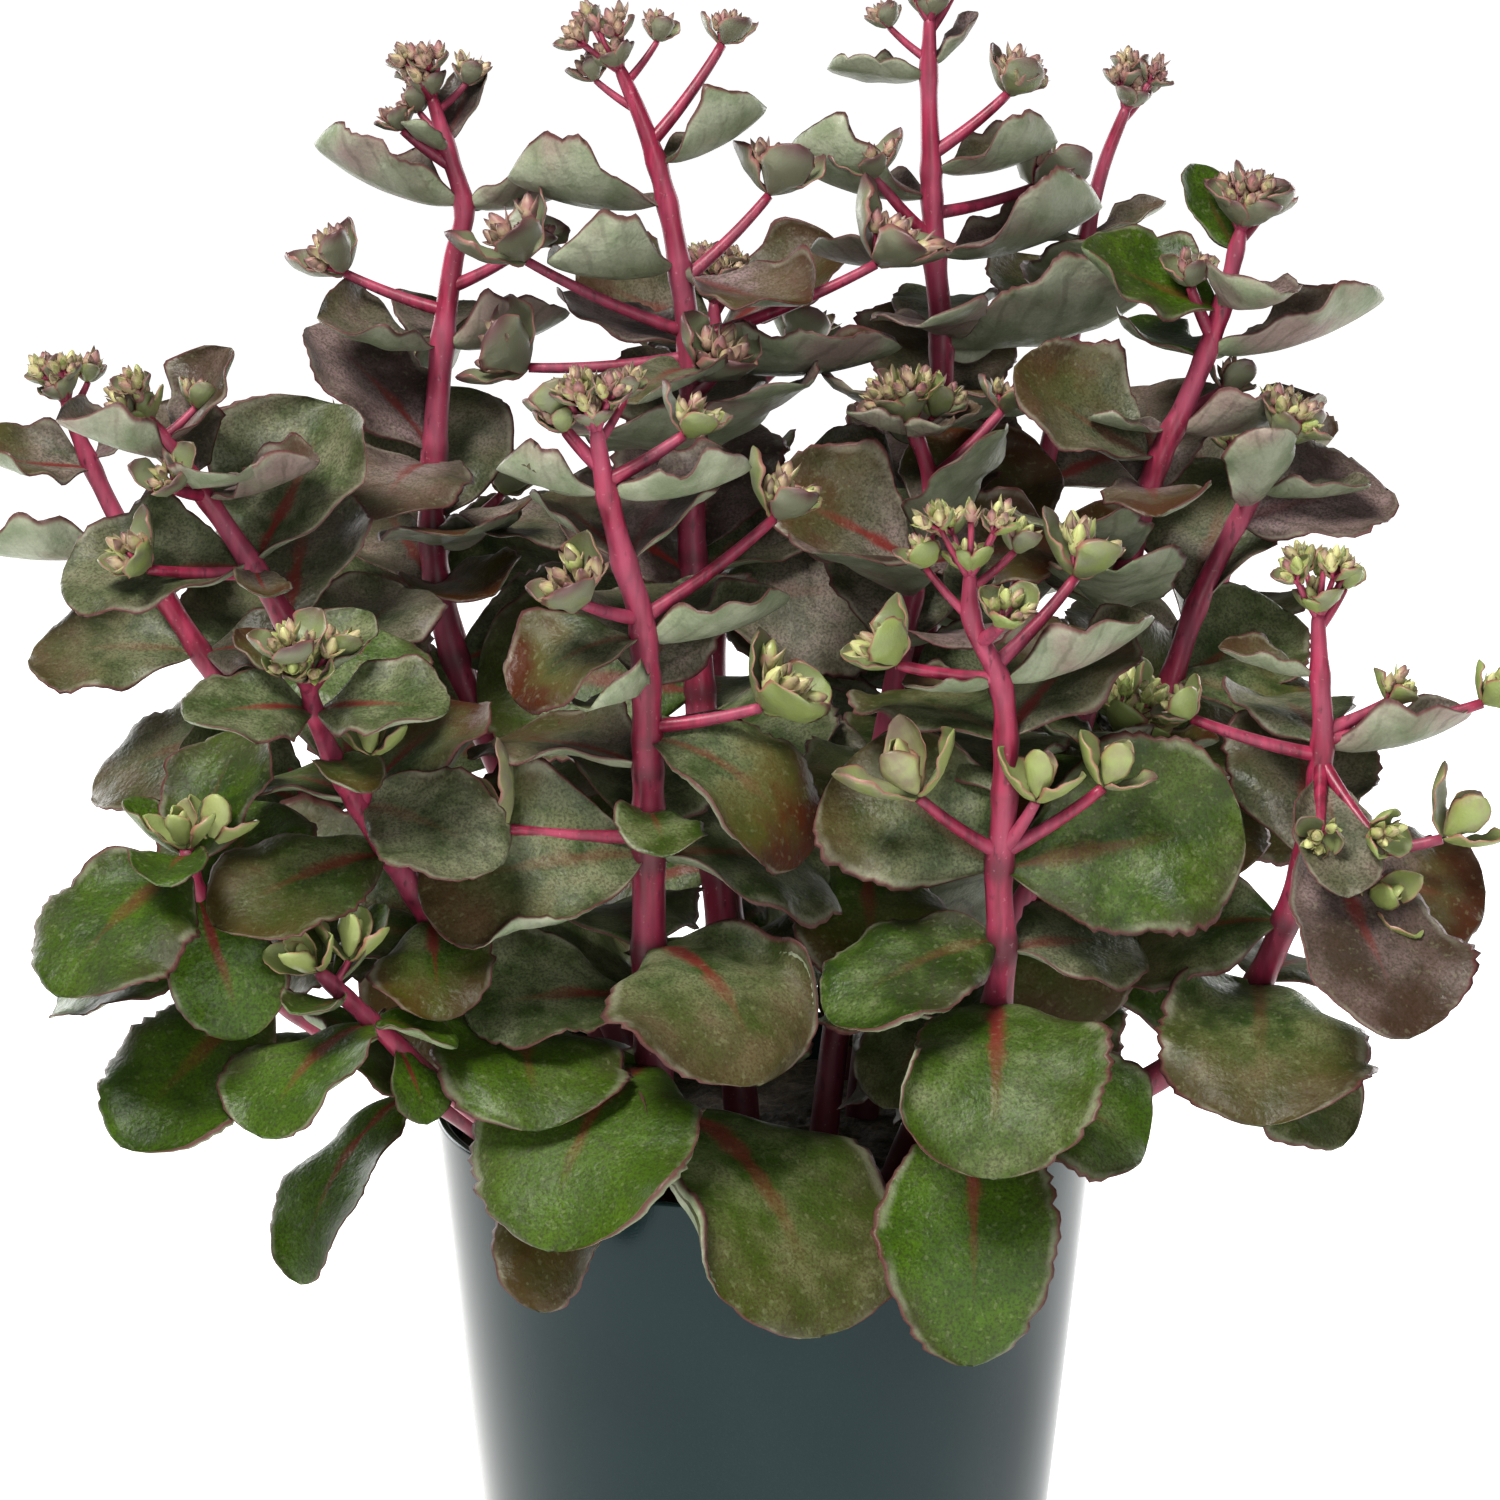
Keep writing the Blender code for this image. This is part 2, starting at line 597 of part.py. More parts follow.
def blade_surface(blade, u, v, lift=0.0, spread=0.0):
    """Points of a blade. Its midrib is an arc that bends down from root (u=0) to tip (u=1), each half
    curls up as an arc from the midrib (v=0) to its edge (v=-1 or 1), and the edges ripple a little.
    lift raises a point off the middle surface, and spread widens the blade."""
    u, v, lift, spread = np.broadcast_arrays(*(np.asarray(a, float) for a in (u, v, lift, spread)))
    bend = math.copysign(max(abs(blade.bend), LEAST_ANGLE), blade.bend)
    cup = math.copysign(max(abs(blade.cup), LEAST_ANGLE), blade.cup)
    along = blade.length * np.sin(bend * u) / bend
    down = blade.length * (1 - np.cos(bend * u)) / bend
    half = blade.width * half_width(u) + spread
    across = half * np.sin(cup * v) / cup
    ripple = np.sin(2 * math.pi * (1.6 * u + blade.phase) + 1.3 * v)
    height = half * (1 - np.cos(cup * v)) / cup + blade.wave * blade.width * v**2 * ripple + lift
    forward, up = blade.forward, blade.up
    normal = np.sin(bend * u)[..., None] * forward + np.cos(bend * u)[..., None] * up
    return (blade.root + along[..., None] * forward - down[..., None] * up
            + across[..., None] * np.cross(forward, up) + height[..., None] * normal)


def shoot_axis(shoot, u):
    """The middle of a side shoot, which curves up by a share of its length."""
    u = np.asarray(u, float)[..., None]
    return shoot.root + shoot.length * (u * shoot.forward + SHOOT_LIFT * u**2 * shoot.up)


def head_axis(shoot):
    """The direction in which the head at a side shoot's end opens: onward, and turned up."""
    return unit(shoot.forward + HEAD_TURN * (shoot.up + UPWARD))


def cross_axes(axis):
    """Two directions square to an axis and to each other."""
    first = unit(np.cross(axis, ANY_DIRECTION))
    return first, np.cross(axis, first)


def ring(centre, axis, radii, start=0.0):
    """Points round a centre, square to an axis, at equal angles and the radii given."""
    first, second = cross_axes(axis)
    angles = start + np.arange(len(radii)) * 2 * math.pi / len(radii)
    return centre + np.outer(radii * np.cos(angles), first) + np.outer(radii * np.sin(angles), second)


def tube(rings):
    """A closed tube from rings of points: its sides, and a flat cap at each end."""
    count, sides = len(rings), len(rings[0])
    faces = []
    for i in range(count - 1):
        for j in range(sides):
            a, b = i * sides + j, i * sides + (j + 1) % sides
            faces += [(a, b, b + sides), (a, b + sides, a + sides)]
    last = (count - 1) * sides
    for j in range(1, sides - 1):
        faces += [(0, j + 1, j), (last, last + j, last + j + 1)]
    return np.vstack(rings), faces


def straight_runs(route, first, last):
    """Which points of a route to keep, so that it is straight between them to within STRAY."""
    run = route[first:last + 1] - route[first]
    chord = unit(run[-1])
    stray = np.linalg.norm(run - np.outer(run @ chord, chord), axis=1)
    if stray.max() < STRAY:
        return [first, last]
    middle = first + int(stray.argmax())
    return straight_runs(route, first, middle)[:-1] + straight_runs(route, middle, last)


def stem_rings(stem, route, sides, swell=0.0):
    """Rings up a stem: straight down in its hole, and then wherever its route turns."""
    kept = straight_runs(route, 0, len(route) - 1)
    centres = np.vstack([route[0] - ROOT_DEPTH * UPWARD, route[kept]])
    axes = np.vstack([UPWARD, np.gradient(route, axis=0)[kept]])
    axes[1] = UPWARD
    rings = []
    for centre, axis in zip(centres, axes):
        radius = stem_radius(stem, route, centre[2]) + swell
        rings.append(ring(centre, unit(axis), np.full(sides, radius)))
    return rings


def blade_shell(blade):
    """A coarse closed shell a little larger than a blade, which tells whether it is clear."""
    u = np.linspace(SHELL_START, SHELL_END, 6)[:, None]
    v = (1 + TOOTH) * np.array([[-1, 0, 1, 1, 0, -1]])
    middle = LEAF_THICKNESS / 2 + CLEARANCE
    lift = np.array([[CLEARANCE, middle, CLEARANCE, -CLEARANCE, -middle, -CLEARANCE]])
    return tube(list(blade_surface(blade, u, v, lift, CLEARANCE)))


def shoot_shell(shoot):
    """A coarse closed shell a little larger than a side shoot and its head."""
    stations = shoot_axis(shoot, np.array([SHELL_START, 0.5, 1]))
    thin = np.full(SHELL_SIDES, shoot.radius + CLEARANCE)
    rings = [ring(centre, shoot.forward, thin) for centre in stations]
    return tube(rings + head_rings(stations[-1], head_axis(shoot), shoot.size, SHELL_SIDES))


def head_rings(end, axis, size, sides):
    """The rings of a shell a little larger than a head."""
    return [ring(end + rise * size * axis, axis, np.full(sides, reach * size + CLEARANCE))
            for rise, reach in HEAD_SHELL]


def stem_shell(stem, route):
    """A coarse closed shell a little larger than a stem and the head at its tip."""
    rings = stem_rings(stem, route, STEM_SIDES, CLEARANCE)
    return tube(rings + head_rings(route[-1], tip_axis(route), stem.crown[2] * MM, STEM_SIDES))


def turned_blade(blade, turn, tilt, size):
    """The blade swung round its stem, tilted up and resized."""
    matrix = swing(blade.forward, turn, tilt)
    forward = matrix @ blade.forward
    return blade._replace(forward=forward, up=matrix @ blade.up,
                          root=blade.root + blade.sunk * (forward - blade.forward),
                          length=size * blade.length, width=size * blade.width)


def turned_shoot(shoot, turn, tilt, size):
    """The side shoot swung round its stem, tilted up and resized."""
    matrix = swing(shoot.forward, turn, tilt)
    forward = matrix @ shoot.forward
    return shoot._replace(forward=forward, up=matrix @ shoot.up,
                          root=shoot.root + shoot.sunk * (forward - shoot.forward),
                          length=max(size * shoot.length, 6 * MM), size=size * shoot.size)


def swing(forward, turn, tilt):
    """The rotation that turns about the vertical and then tilts upwards, in degrees."""
    axis = unit(np.cross(forward, [0, 0, 1]) + np.array([1e-6, 0, 0]))
    return rotation(np.array([0, 0, 1.0]), turn) @ rotation(axis, tilt)


def rotation(axis, degrees):
    """Rodrigues' rotation matrix about a unit axis."""
    x, y, z = axis
    skew = np.array([[0, -z, y], [z, 0, -x], [-y, x, 0]])
    angle = math.radians(degrees)
    return np.eye(3) + math.sin(angle) * skew + (1 - math.cos(angle)) * (skew @ skew)


class Thicket:
    """What has grown so far, as shells that new growth must stay clear of."""

    def __init__(self):
        self.shells = []
        self.crossed = 0

    def add(self, owner, root, shell):
        points, faces = shell
        tree = BVHTree.FromPolygons(points.tolist(), faces)
        self.shells.append((owner, root, points.min(axis=0), points.max(axis=0), tree))

    def clear(self, owner, root, shell, own_too):
        """Whether a shell meets nothing of another stem, nor its own stem's growth further off."""
        points, faces = shell
        low, high = points.min(axis=0), points.max(axis=0)
        tree = None
        for other, other_root, other_low, other_high, other_tree in self.shells:
            if (low > other_high).any() or (high < other_low).any():
                continue
            if other == owner and (not own_too or other_root is None
                                   or np.linalg.norm(root - other_root) < SAME_NODE):
                continue
            tree = tree or BVHTree.FromPolygons(points.tolist(), faces)
            if tree.overlap(other_tree):
                return False
        return True


def moves():
    """Ways to bend a blade or shoot clear, the smallest first: (turn, tilt, size)."""
    steps = [(turn, tilt) for turn in TURNS for tilt in TILTS]
    steps.sort(key=lambda step: (abs(step[0]) + abs(step[1]), step))
    return [(turn, tilt, size) for size in SIZES for turn, tilt in steps]


def grow(thicket, owner, item, shell_of, turned, tries):
    """The item as it is or bent clear of what has grown, or None where it has no room."""
    for own_too in (True, False):
        for turn, tilt, size in tries:
            moved = turned(item, turn, tilt, size)
            shell = shell_of(moved)
            if thicket.clear(owner, moved.root, shell, own_too):
                thicket.add(owner, moved.root, shell)
                thicket.crossed += not own_too
                return moved
    return None


def pot_shell():
    """The pot's outer wall and rim and the soil, with a little room round them."""
    room = CLEARANCE
    inner = POT_TOP_RADIUS - POT_WALL - room
    return turned([(0, 0), (POT_BASE_RADIUS + room, 0), (POT_TOP_RADIUS + room, POT_HEIGHT + room),
                   (inner, POT_HEIGHT + room), (inner, SOIL_TOP + room),
                   (0, SOIL_TOP + room)], 48)


def all_growth():
    """Every stem's route, blades and side shoots, bent clear of each other: front stems first."""
    draw = np.random.default_rng(SEED)
    thicket = Thicket()
    thicket.add("pot", None, pot_shell())
    routes = {name: smooth_route(stem.route) for name, stem in STEMS.items()}
    for name, stem in STEMS.items():
        thicket.add(name, None, stem_shell(stem, routes[name]))
    tries = moves()
    growth = {}
    for name, stem in STEMS.items():
        route = routes[name]
        blades, shoots = [], []
        for row in stem.leaves:
            blade = new_blade(stem, route, row, draw.uniform(0.01, 0.06), draw.random())
            blades.append(grow(thicket, name, blade, blade_shell, turned_blade, tries))
        for row in stem.shoots:
            shoot = new_shoot(stem, route, row, SHOOT_RADIUS)
            shoots.append(grow(thicket, name, shoot, shoot_shell, turned_shoot, tries))
        for row in crown_rows(route, stem.crown, draw):
            shoot = new_shoot(stem, route, row, CROWN_RADIUS)
            shoots.append(grow(thicket, name, shoot, shoot_shell, turned_shoot, tries))
        for row in pair_rows(stem.pairs, draw):
            blade = new_blade(stem, route, row, draw.uniform(0.02, 0.06), draw.random())
            blades.append(grow(thicket, name, blade, blade_shell, turned_blade, tries))
        found = [item for item in blades + shoots if item is not None]
        print(name, "grew", len(found), "of", len(blades) + len(shoots))
        growth[name] = (route, [b for b in blades if b], [s for s in shoots if s])
    print(thicket.crossed, "cross their own stem's growth")
    return growth


def turned(profile, sides):
    """A closed solid turned about +Z from (radius, height) points, bottom to top on its outside."""
    points, rings = [], []
    for radius, height in profile:
        count = 1 if radius < LEAST_RADIUS else sides
        angles = np.arange(count) * 2 * math.pi / sides
        rings.append(list(range(len(points), len(points) + count)))
        points += [(radius * math.cos(a), radius * math.sin(a), height) for a in angles]
    faces = []
    for low, high in zip(rings, rings[1:]):
        for j in range(sides):
            k = (j + 1) % sides
            if len(low) > 1:
                faces.append((low[j], low[k], high[k % len(high)]))
            if len(high) > 1:
                faces.append((low[j % len(low)], high[k], high[j]))
    for end, step in ((rings[0], -1), (rings[-1], 1)):
        if len(end) > 1:
            faces.append(tuple(end[::step]))
    return np.array(points), faces


def zipped(first, second, first_at, second_at):
    """Triangles between two chains of points that share both ends, taken in step along their length."""
    i, j, faces = 0, 0, []
    while i < len(first) - 1 or j < len(second) - 1:
        if j == len(second) - 1 or (i < len(first) - 1 and first_at[i + 1] <= second_at[j + 1]):
            faces.append((first[i], first[i + 1], second[j]))
            i += 1
        else:
            faces.append((first[i], second[j + 1], second[j]))
            j += 1
    return [face for face in faces if len(set(face)) == 3]


def leaf_detail(blade):
    """How many points a leaf has along each edge and along its midrib."""
    if blade.length > BROAD_LEAF and blade.bend > STRONG_BEND:
        return 5, 3
    return (4, 2) if blade.length > MIDDLE_LEAF else (3, 2)


def blade_mesh(blade):
    """A closed leaf, thickest along its midrib: an upper and a lower face that share a toothed edge."""
    edges, ribs = leaf_detail(blade)
    even = np.linspace(BASE_SHARE, LAST_SHARE, edges)
    edge_at = np.concatenate([[0], even, [1]])
    rib_at = np.concatenate([[0], np.linspace(BASE_SHARE, LAST_SHARE, ribs), [1]])
    teeth = 1 + TOOTH * (-1.0) ** np.arange(edges)
    ends = blade_surface(blade, np.array([0, 1]), 0)
    right = blade_surface(blade, edge_at[1:-1], teeth)
    left = blade_surface(blade, edge_at[1:-1], -teeth)
    half = LEAF_THICKNESS / 2 * (1 - 0.4 * rib_at[1:-1])
    upper = blade_surface(blade, rib_at[1:-1], 0, half)
    lower = blade_surface(blade, rib_at[1:-1], 0, -half)
    points = np.vstack([ends, right, left, upper, lower])
    chains, start = [], 2
    for count in (edges, edges, ribs, ribs):
        chains.append([0] + list(range(start, start + count)) + [1])
        start += count
    right, left, upper, lower = chains
    faces = zipped(right, upper, edge_at, rib_at)
    faces += [face[::-1] for face in zipped(left, upper, edge_at, rib_at)]
    faces += [face[::-1] for face in zipped(right, lower, edge_at, rib_at)]
    faces += zipped(left, lower, edge_at, rib_at)
    return points, faces


def headed(rings, axis, size):
    """A closed branch from rings of points, opening into a cup of pointed bracts round its buds."""
    sides = len(rings[0])
    points, faces = tube(rings)
    base = len(points) - sides
    faces = [face for face in faces if min(face) < base]
    end = rings[-1].mean(axis=0)
    reach = size * np.tile(BRACT_REACH, sides)
    bracts = ring(end, axis, reach) + np.outer(size * np.tile(BRACT_RISE, sides), axis)
    buds = ring(end + BUDS_RISE * size * axis, axis, size * np.tile(BUDS_REACH, sides))
    star, count = len(points), 2 * sides
    for j in range(sides):
        k = (j + 1) % sides
        left, middle, right = star + 2 * j, star + 2 * j + 1, star + 2 * k
        faces += [(base + j, base + k, middle), (base + j, middle, left), (base + k, right, middle)]
    parts = [points, bracts]
    if size > SMALL_HEAD:
        parts.append(buds)
        for j in range(count):
            k = (j + 1) % count
            a, b = star + j, star + k
            faces += [(a, b, b + count), (a, b + count, a + count)]
        star += count
    faces += [(star + j, star + (j + 1) % count, star + count) for j in range(count)]
    return np.vstack(parts + [end + HEAD_TOP * size * axis]), faces


def shoot_mesh(shoot):
    """A side shoot: a branch that curves up to its head."""
    axis = head_axis(shoot)
    steps = (0, 0.6, 1) if shoot.length > LONG_SHOOT else (0, 1)
    rings = [ring(shoot_axis(shoot, u), unit((1 - u) * shoot.forward + u * axis),
                  np.full(BRANCH_SIDES, shoot.radius)) for u in steps]
    return headed(rings, axis, shoot.size)


def mesh_object(name, points, faces, material, collection=None):
    """An object whose mesh holds its place, so that it stands at the origin."""
    mesh = bpy.data.meshes.new(name)
    mesh.from_pydata(np.asarray(points).tolist(), [], faces)
    mesh.validate()
    obj = bpy.data.objects.new(name, mesh)
    (collection or bpy.context.scene.collection).objects.link(obj)
    if material:
        mesh.materials.append(material)
    return obj


def plain_material(name, colour, roughness):
    material = bpy.data.materials.new(name)
    material.use_nodes = True
    shader = material.node_tree.nodes["Principled BSDF"]
    shader.inputs["Base Color"].default_value = (*colour, 1)
    shader.inputs["Roughness"].default_value = roughness
    shader.inputs["Metallic"].default_value = 0
    material.diffuse_color = (*colour, 1)
    return material


def apply_boolean(obj, collection, operation, solver):
    """Joins or cuts a mesh with all that a collection holds, and then removes the collection."""
    modifier = obj.modifiers.new(operation.title(), "BOOLEAN")
    modifier.operation = operation
    modifier.operand_type = "COLLECTION"
    modifier.collection = collection
    modifier.solver = solver
    graph = bpy.context.evaluated_depsgraph_get()
    mesh = bpy.data.meshes.new_from_object(obj.evaluated_get(graph))
    obj.modifiers.clear()
    old = obj.data
    obj.data = mesh
    bpy.data.meshes.remove(old)
    for other in list(collection.objects):
        bpy.data.objects.remove(other)
    bpy.data.collections.remove(collection)


def keep_largest(obj):
    """Drops the specks of surface inside an object, where tips of its growth close round a pocket."""
    mesh = bmesh.new()
    mesh.from_mesh(obj.data)
    islands, seen = [], set()
    for start in mesh.verts:
        if start in seen:
            continue
        island, waiting = {start}, [start]
        while waiting:
            vertex = waiting.pop()
            near = {edge.other_vert(vertex) for edge in vertex.link_edges} - island
            island |= near
            waiting += near
        seen |= island
        islands.append(island)
    largest = max(islands, key=len)
    specks = [vertex for vertex in mesh.verts if vertex not in largest]
    bmesh.ops.delete(mesh, geom=specks, context="VERTS")
    mesh.to_mesh(obj.data)
    mesh.free()
    if specks:
        print(obj.name, "drops a speck of", len(specks), "points")


def make_pot():
    """A tapered cup with a flat base, a small bevel at its foot and a plain rounded rim."""
    slope = (POT_TOP_RADIUS - POT_BASE_RADIUS) / POT_HEIGHT
    inner_floor = POT_BASE_RADIUS + slope * POT_FLOOR - POT_WALL
    inner_top = POT_TOP_RADIUS - POT_WALL
    edge = POT_WALL / 3
    profile = [(POT_BASE_RADIUS - POT_BEVEL, 0), (POT_BASE_RADIUS, POT_BEVEL),
               (POT_TOP_RADIUS, POT_HEIGHT - edge), (POT_TOP_RADIUS - edge, POT_HEIGHT),
               (inner_top + edge, POT_HEIGHT), (inner_top, POT_HEIGHT - edge),
               (inner_floor, POT_FLOOR)]
    points, faces = turned(profile, POT_SIDES)
    material = plain_material("pot_slate", (0.036, 0.052, 0.060), 0.38)
    pot = mesh_object("pot", points, faces, material)
    pot.data.shade_smooth()
    pot.data.set_sharp_from_angle(angle=SHARP_ANGLE)


def make_soil(routes):
    """Potting mix that fills the pot to below its rim, with a plain hole for each stem."""
    slope = (POT_TOP_RADIUS - POT_BASE_RADIUS) / POT_HEIGHT
    wall = POT_WALL + GAP
    low = POT_FLOOR + GAP
    profile = [(POT_BASE_RADIUS + slope * height - wall, height) for height in (low, SOIL_TOP)]
    material = plain_material("potting_mix", (0.030, 0.020, 0.013), 0.95)
    soil = mesh_object("soil", *turned(profile, SOIL_SIDES), material)
    holes = bpy.data.collections.new("stem holes")
    bpy.context.scene.collection.children.link(holes)
    for name, stem in STEMS.items():
        x, y, top = routes[name][0]
        radius = (stem.radius * MM + GAP) / math.cos(math.pi / HOLE_SIDES)
        bottom = ring(np.array([x, y, top - ROOT_DEPTH - GAP]), UPWARD, np.full(HOLE_SIDES, radius))
        rim = ring(np.array([x, y, SOIL_TOP + ROOT_DEPTH]), UPWARD, np.full(HOLE_SIDES, radius))
        cutter = mesh_object(name + " hole", *tube([bottom, rim]), None, holes)
        cutter.hide_render = True
        cutter.display_type = "WIRE"
    apply_boolean(soil, holes, "DIFFERENCE", "EXACT")


def make_stem(name, stem, route, blades, shoots):
    """One leafy stem: its leaves and side shoots fused to it in one solid."""
    tint = STEMS_TINT[list(STEMS).index(name) % len(STEMS_TINT)]
    material = plain_material("orpine_" + name, tint, 0.5)
    rings = stem_rings(stem, route, STEM_SIDES)
    size = stem.crown[2] * MM
    trunk = mesh_object(name, *headed(rings, tip_axis(route), size), material)
    growth = bpy.data.collections.new(name + " growth")
    bpy.context.scene.collection.children.link(growth)
    for i, blade in enumerate(blades):
        mesh_object(f"{name} leaf {i}", *blade_mesh(blade), None, growth)
    for i, shoot in enumerate(shoots):
        mesh_object(f"{name} shoot {i}", *shoot_mesh(shoot), None, growth)
    apply_boolean(trunk, growth, "UNION", "MANIFOLD")
    keep_largest(trunk)


def main():
    for obj in list(bpy.data.objects):
        bpy.data.objects.remove(obj)
    growth = all_growth()
    make_pot()
    make_soil({name: found[0] for name, found in growth.items()})
    for name, (route, blades, shoots) in growth.items():
        make_stem(name, STEMS[name], route, blades, shoots)


main()
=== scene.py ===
# %% [markdown]
# # A potted orpine
#
# This lesson dresses a potted orpine: a stonecrop with thick bronze-green leaves, raspberry
# stems and clusters of flower buds, in a plain tapered pot. The imported model already holds the
# right sizes and places. Here each piece gets its fine surface and its finish.
#
# The model is loaded first.

# %% Load the imported model
import math
from collections import namedtuple

import bpy
import numpy as np
from mathutils.bvhtree import BVHTree
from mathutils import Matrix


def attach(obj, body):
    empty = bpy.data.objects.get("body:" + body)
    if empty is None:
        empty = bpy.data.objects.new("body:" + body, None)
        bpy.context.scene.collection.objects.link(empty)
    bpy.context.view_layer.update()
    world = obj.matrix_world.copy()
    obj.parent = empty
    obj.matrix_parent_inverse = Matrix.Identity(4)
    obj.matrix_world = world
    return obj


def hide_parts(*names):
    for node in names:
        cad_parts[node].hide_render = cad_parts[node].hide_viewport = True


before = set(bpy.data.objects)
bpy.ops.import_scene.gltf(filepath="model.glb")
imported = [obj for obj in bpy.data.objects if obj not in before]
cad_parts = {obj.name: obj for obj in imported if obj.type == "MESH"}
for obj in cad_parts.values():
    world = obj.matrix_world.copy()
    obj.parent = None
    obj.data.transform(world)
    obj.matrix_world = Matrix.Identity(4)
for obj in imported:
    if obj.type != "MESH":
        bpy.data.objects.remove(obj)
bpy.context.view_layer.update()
MM = 0.001
print("nodes:", ", ".join(sorted(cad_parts)))

# %% [markdown]
# ## Camera, light and floor
#
# The plant is seen from a little above, through a long lens about a metre away, so that the pot's
# foot and the tallest tip run out of the frame. The studio is a white tent: an even pale
# surrounding, one broad soft light high on the left in front, a weak one low in front, and one
# behind on each side that lines the edges. Broad lights give soft edges to every shadow, which
# suits waxy leaves. Small lamps would put hard sparkles on them.

# %% Place the camera
ELEVATION = math.radians(12)
DISTANCE = 0.95
LENS = 90
TARGET = np.array([-0.004, 0.0, 0.2525])
camera_data = bpy.data.cameras.new("camera")
camera_data.lens = LENS
camera_data.sensor_width = 36
camera = bpy.data.objects.new("camera", camera_data)
bpy.context.scene.collection.objects.link(camera)
camera.location = TARGET + DISTANCE * np.array([0, -math.cos(ELEVATION), math.sin(ELEVATION)])
camera.rotation_euler = (math.radians(90) - ELEVATION, 0, 0)
bpy.context.scene.camera = camera
bpy.context.scene.view_settings.view_transform = "Standard"
print("camera at", [round(c, 3) for c in camera.location])


# %% Hang the lights
TENT_STRENGTH = 0.15


def soft_light(name, place, size, power, colour=(1, 1, 1)):
    """A square area light at a place, turned to face the middle of the plant."""
    data = bpy.data.lights.new(name, "AREA")
    data.size = size
    data.energy = power
    data.color = colour
    light = bpy.data.objects.new(name, data)
    bpy.context.scene.collection.objects.link(light)
    light.location = place
    away = np.array(place) - TARGET
    flat = math.hypot(away[0], away[1])
    light.rotation_euler = (math.atan2(flat, away[2]), 0, math.atan2(away[1], away[0]) + math.pi / 2)
    return light


soft_light("key_light", (-0.5, -0.8, 1.6), size=0.6, power=50, colour=(1, 0.98, 0.93))
soft_light("fill_light", (0.4, -1.5, 0.6), size=0.7, power=9)
soft_light("left_rim_light", (-1.05, 1.2, 0.5), size=0.8, power=14)
soft_light("right_rim_light", (1.05, 1.2, 0.5), size=0.8, power=14)
world = bpy.data.worlds.new("white_tent")
world.use_nodes = True
world.node_tree.nodes["Background"].inputs["Color"].default_value = (1, 1, 1, 1)
world.node_tree.nodes["Background"].inputs["Strength"].default_value = TENT_STRENGTH
bpy.context.scene.world = world

# %% [markdown]
# ## How the plant is laid out
#
# The solids came from tables: for each stem its route, its leaves and its side shoots, as heights,
# compass directions and sizes. The same tables and the same seeded rule are used here, so the fine
# leaves grow exactly where the solid ones stand. Guessing the leaves' places back from the solids'
# triangles would be harder and less exact.

# %% Sizes that the solids share
POT_HEIGHT = 160 * MM
POT_TOP_RADIUS = 85 * MM
POT_BASE_RADIUS = 69 * MM
POT_WALL = 2.6 * MM
POT_FLOOR = 4 * MM
SOIL_TOP = 148 * MM
ROOT_DEPTH = 24 * MM
GAP = 0.3 * MM

LEAF_THICKNESS = 2.0 * MM
WIDEST_AT = 0.60
BLUNTNESS = 0.56
TOOTH = 0.05
CLEARANCE = 0.7 * MM

ROOT_SHARE = 0.4
AXIL_STEP = 3
UPWARD = np.array([0.0, 0.0, 1.0])
ANY_DIRECTION = np.array([0.31, 0.95, 0.05])
HEAD_TURN = 0.48
HEAD_SHELL = ((0.75, 1.18), (1.1, 0.7))

STEM_TIP_RADIUS = 1.3 * MM
STEM_TAPER = 0.45
STEM_SIDES = 5
STRAY = 0.6 * MM
FOOT_RUN = 14 * MM
SHOOT_RADIUS = 1.5
SHOOT_LIFT = 0.1
SHORTEST_SHOOT = 6 * MM
SHELL_SIDES = 6
CROWN_DROP = 7
CROWN_START = 30
CROWN_RISE = 40
CROWN_JITTER = 12
GOLDEN_ANGLE = 137.5
CROWN_RADIUS = 1.0
LEAST_ANGLE = 1e-3
LEAST_RADIUS = 1e-6
SEED = 41

TURNS = (0, 9, -9, 18, -18, 28, -28)
TILTS = (0, 7, -7, 14, -14, 22, -22)
SIZES = (1.0, 0.86, 0.72)
SHELL_START = 0.07
SHELL_END = 1.03
SAME_NODE = 9 * MM

PAIR_SPACING = 40
PAIR_LENGTH = (62, 42)
PAIR_WIDTH = 0.86
PAIR_RISE = (16, 30)
PAIR_BEND = (84, 10)
PAIR_CUP = (14, 44)
PAIR_ROLL = 48
PAIR_JITTER = 14

# %% Names for the tables' columns
LEAF_COLUMNS = ("height", "azimuth", "rise", "length", "width", "bend", "cup", "roll")
SHOOT_COLUMNS = ("height", "azimuth", "rise", "length", "size")
Stem = namedtuple("Stem", "radius route leaves shoots crown pairs")
Blade = namedtuple("Blade", "root forward up length width bend cup wave phase sunk")
Shoot = namedtuple("Shoot", "root forward up length size radius sunk")
print("a leaf's row has", len(LEAF_COLUMNS), "columns and a shoot's has", len(SHOOT_COLUMNS))

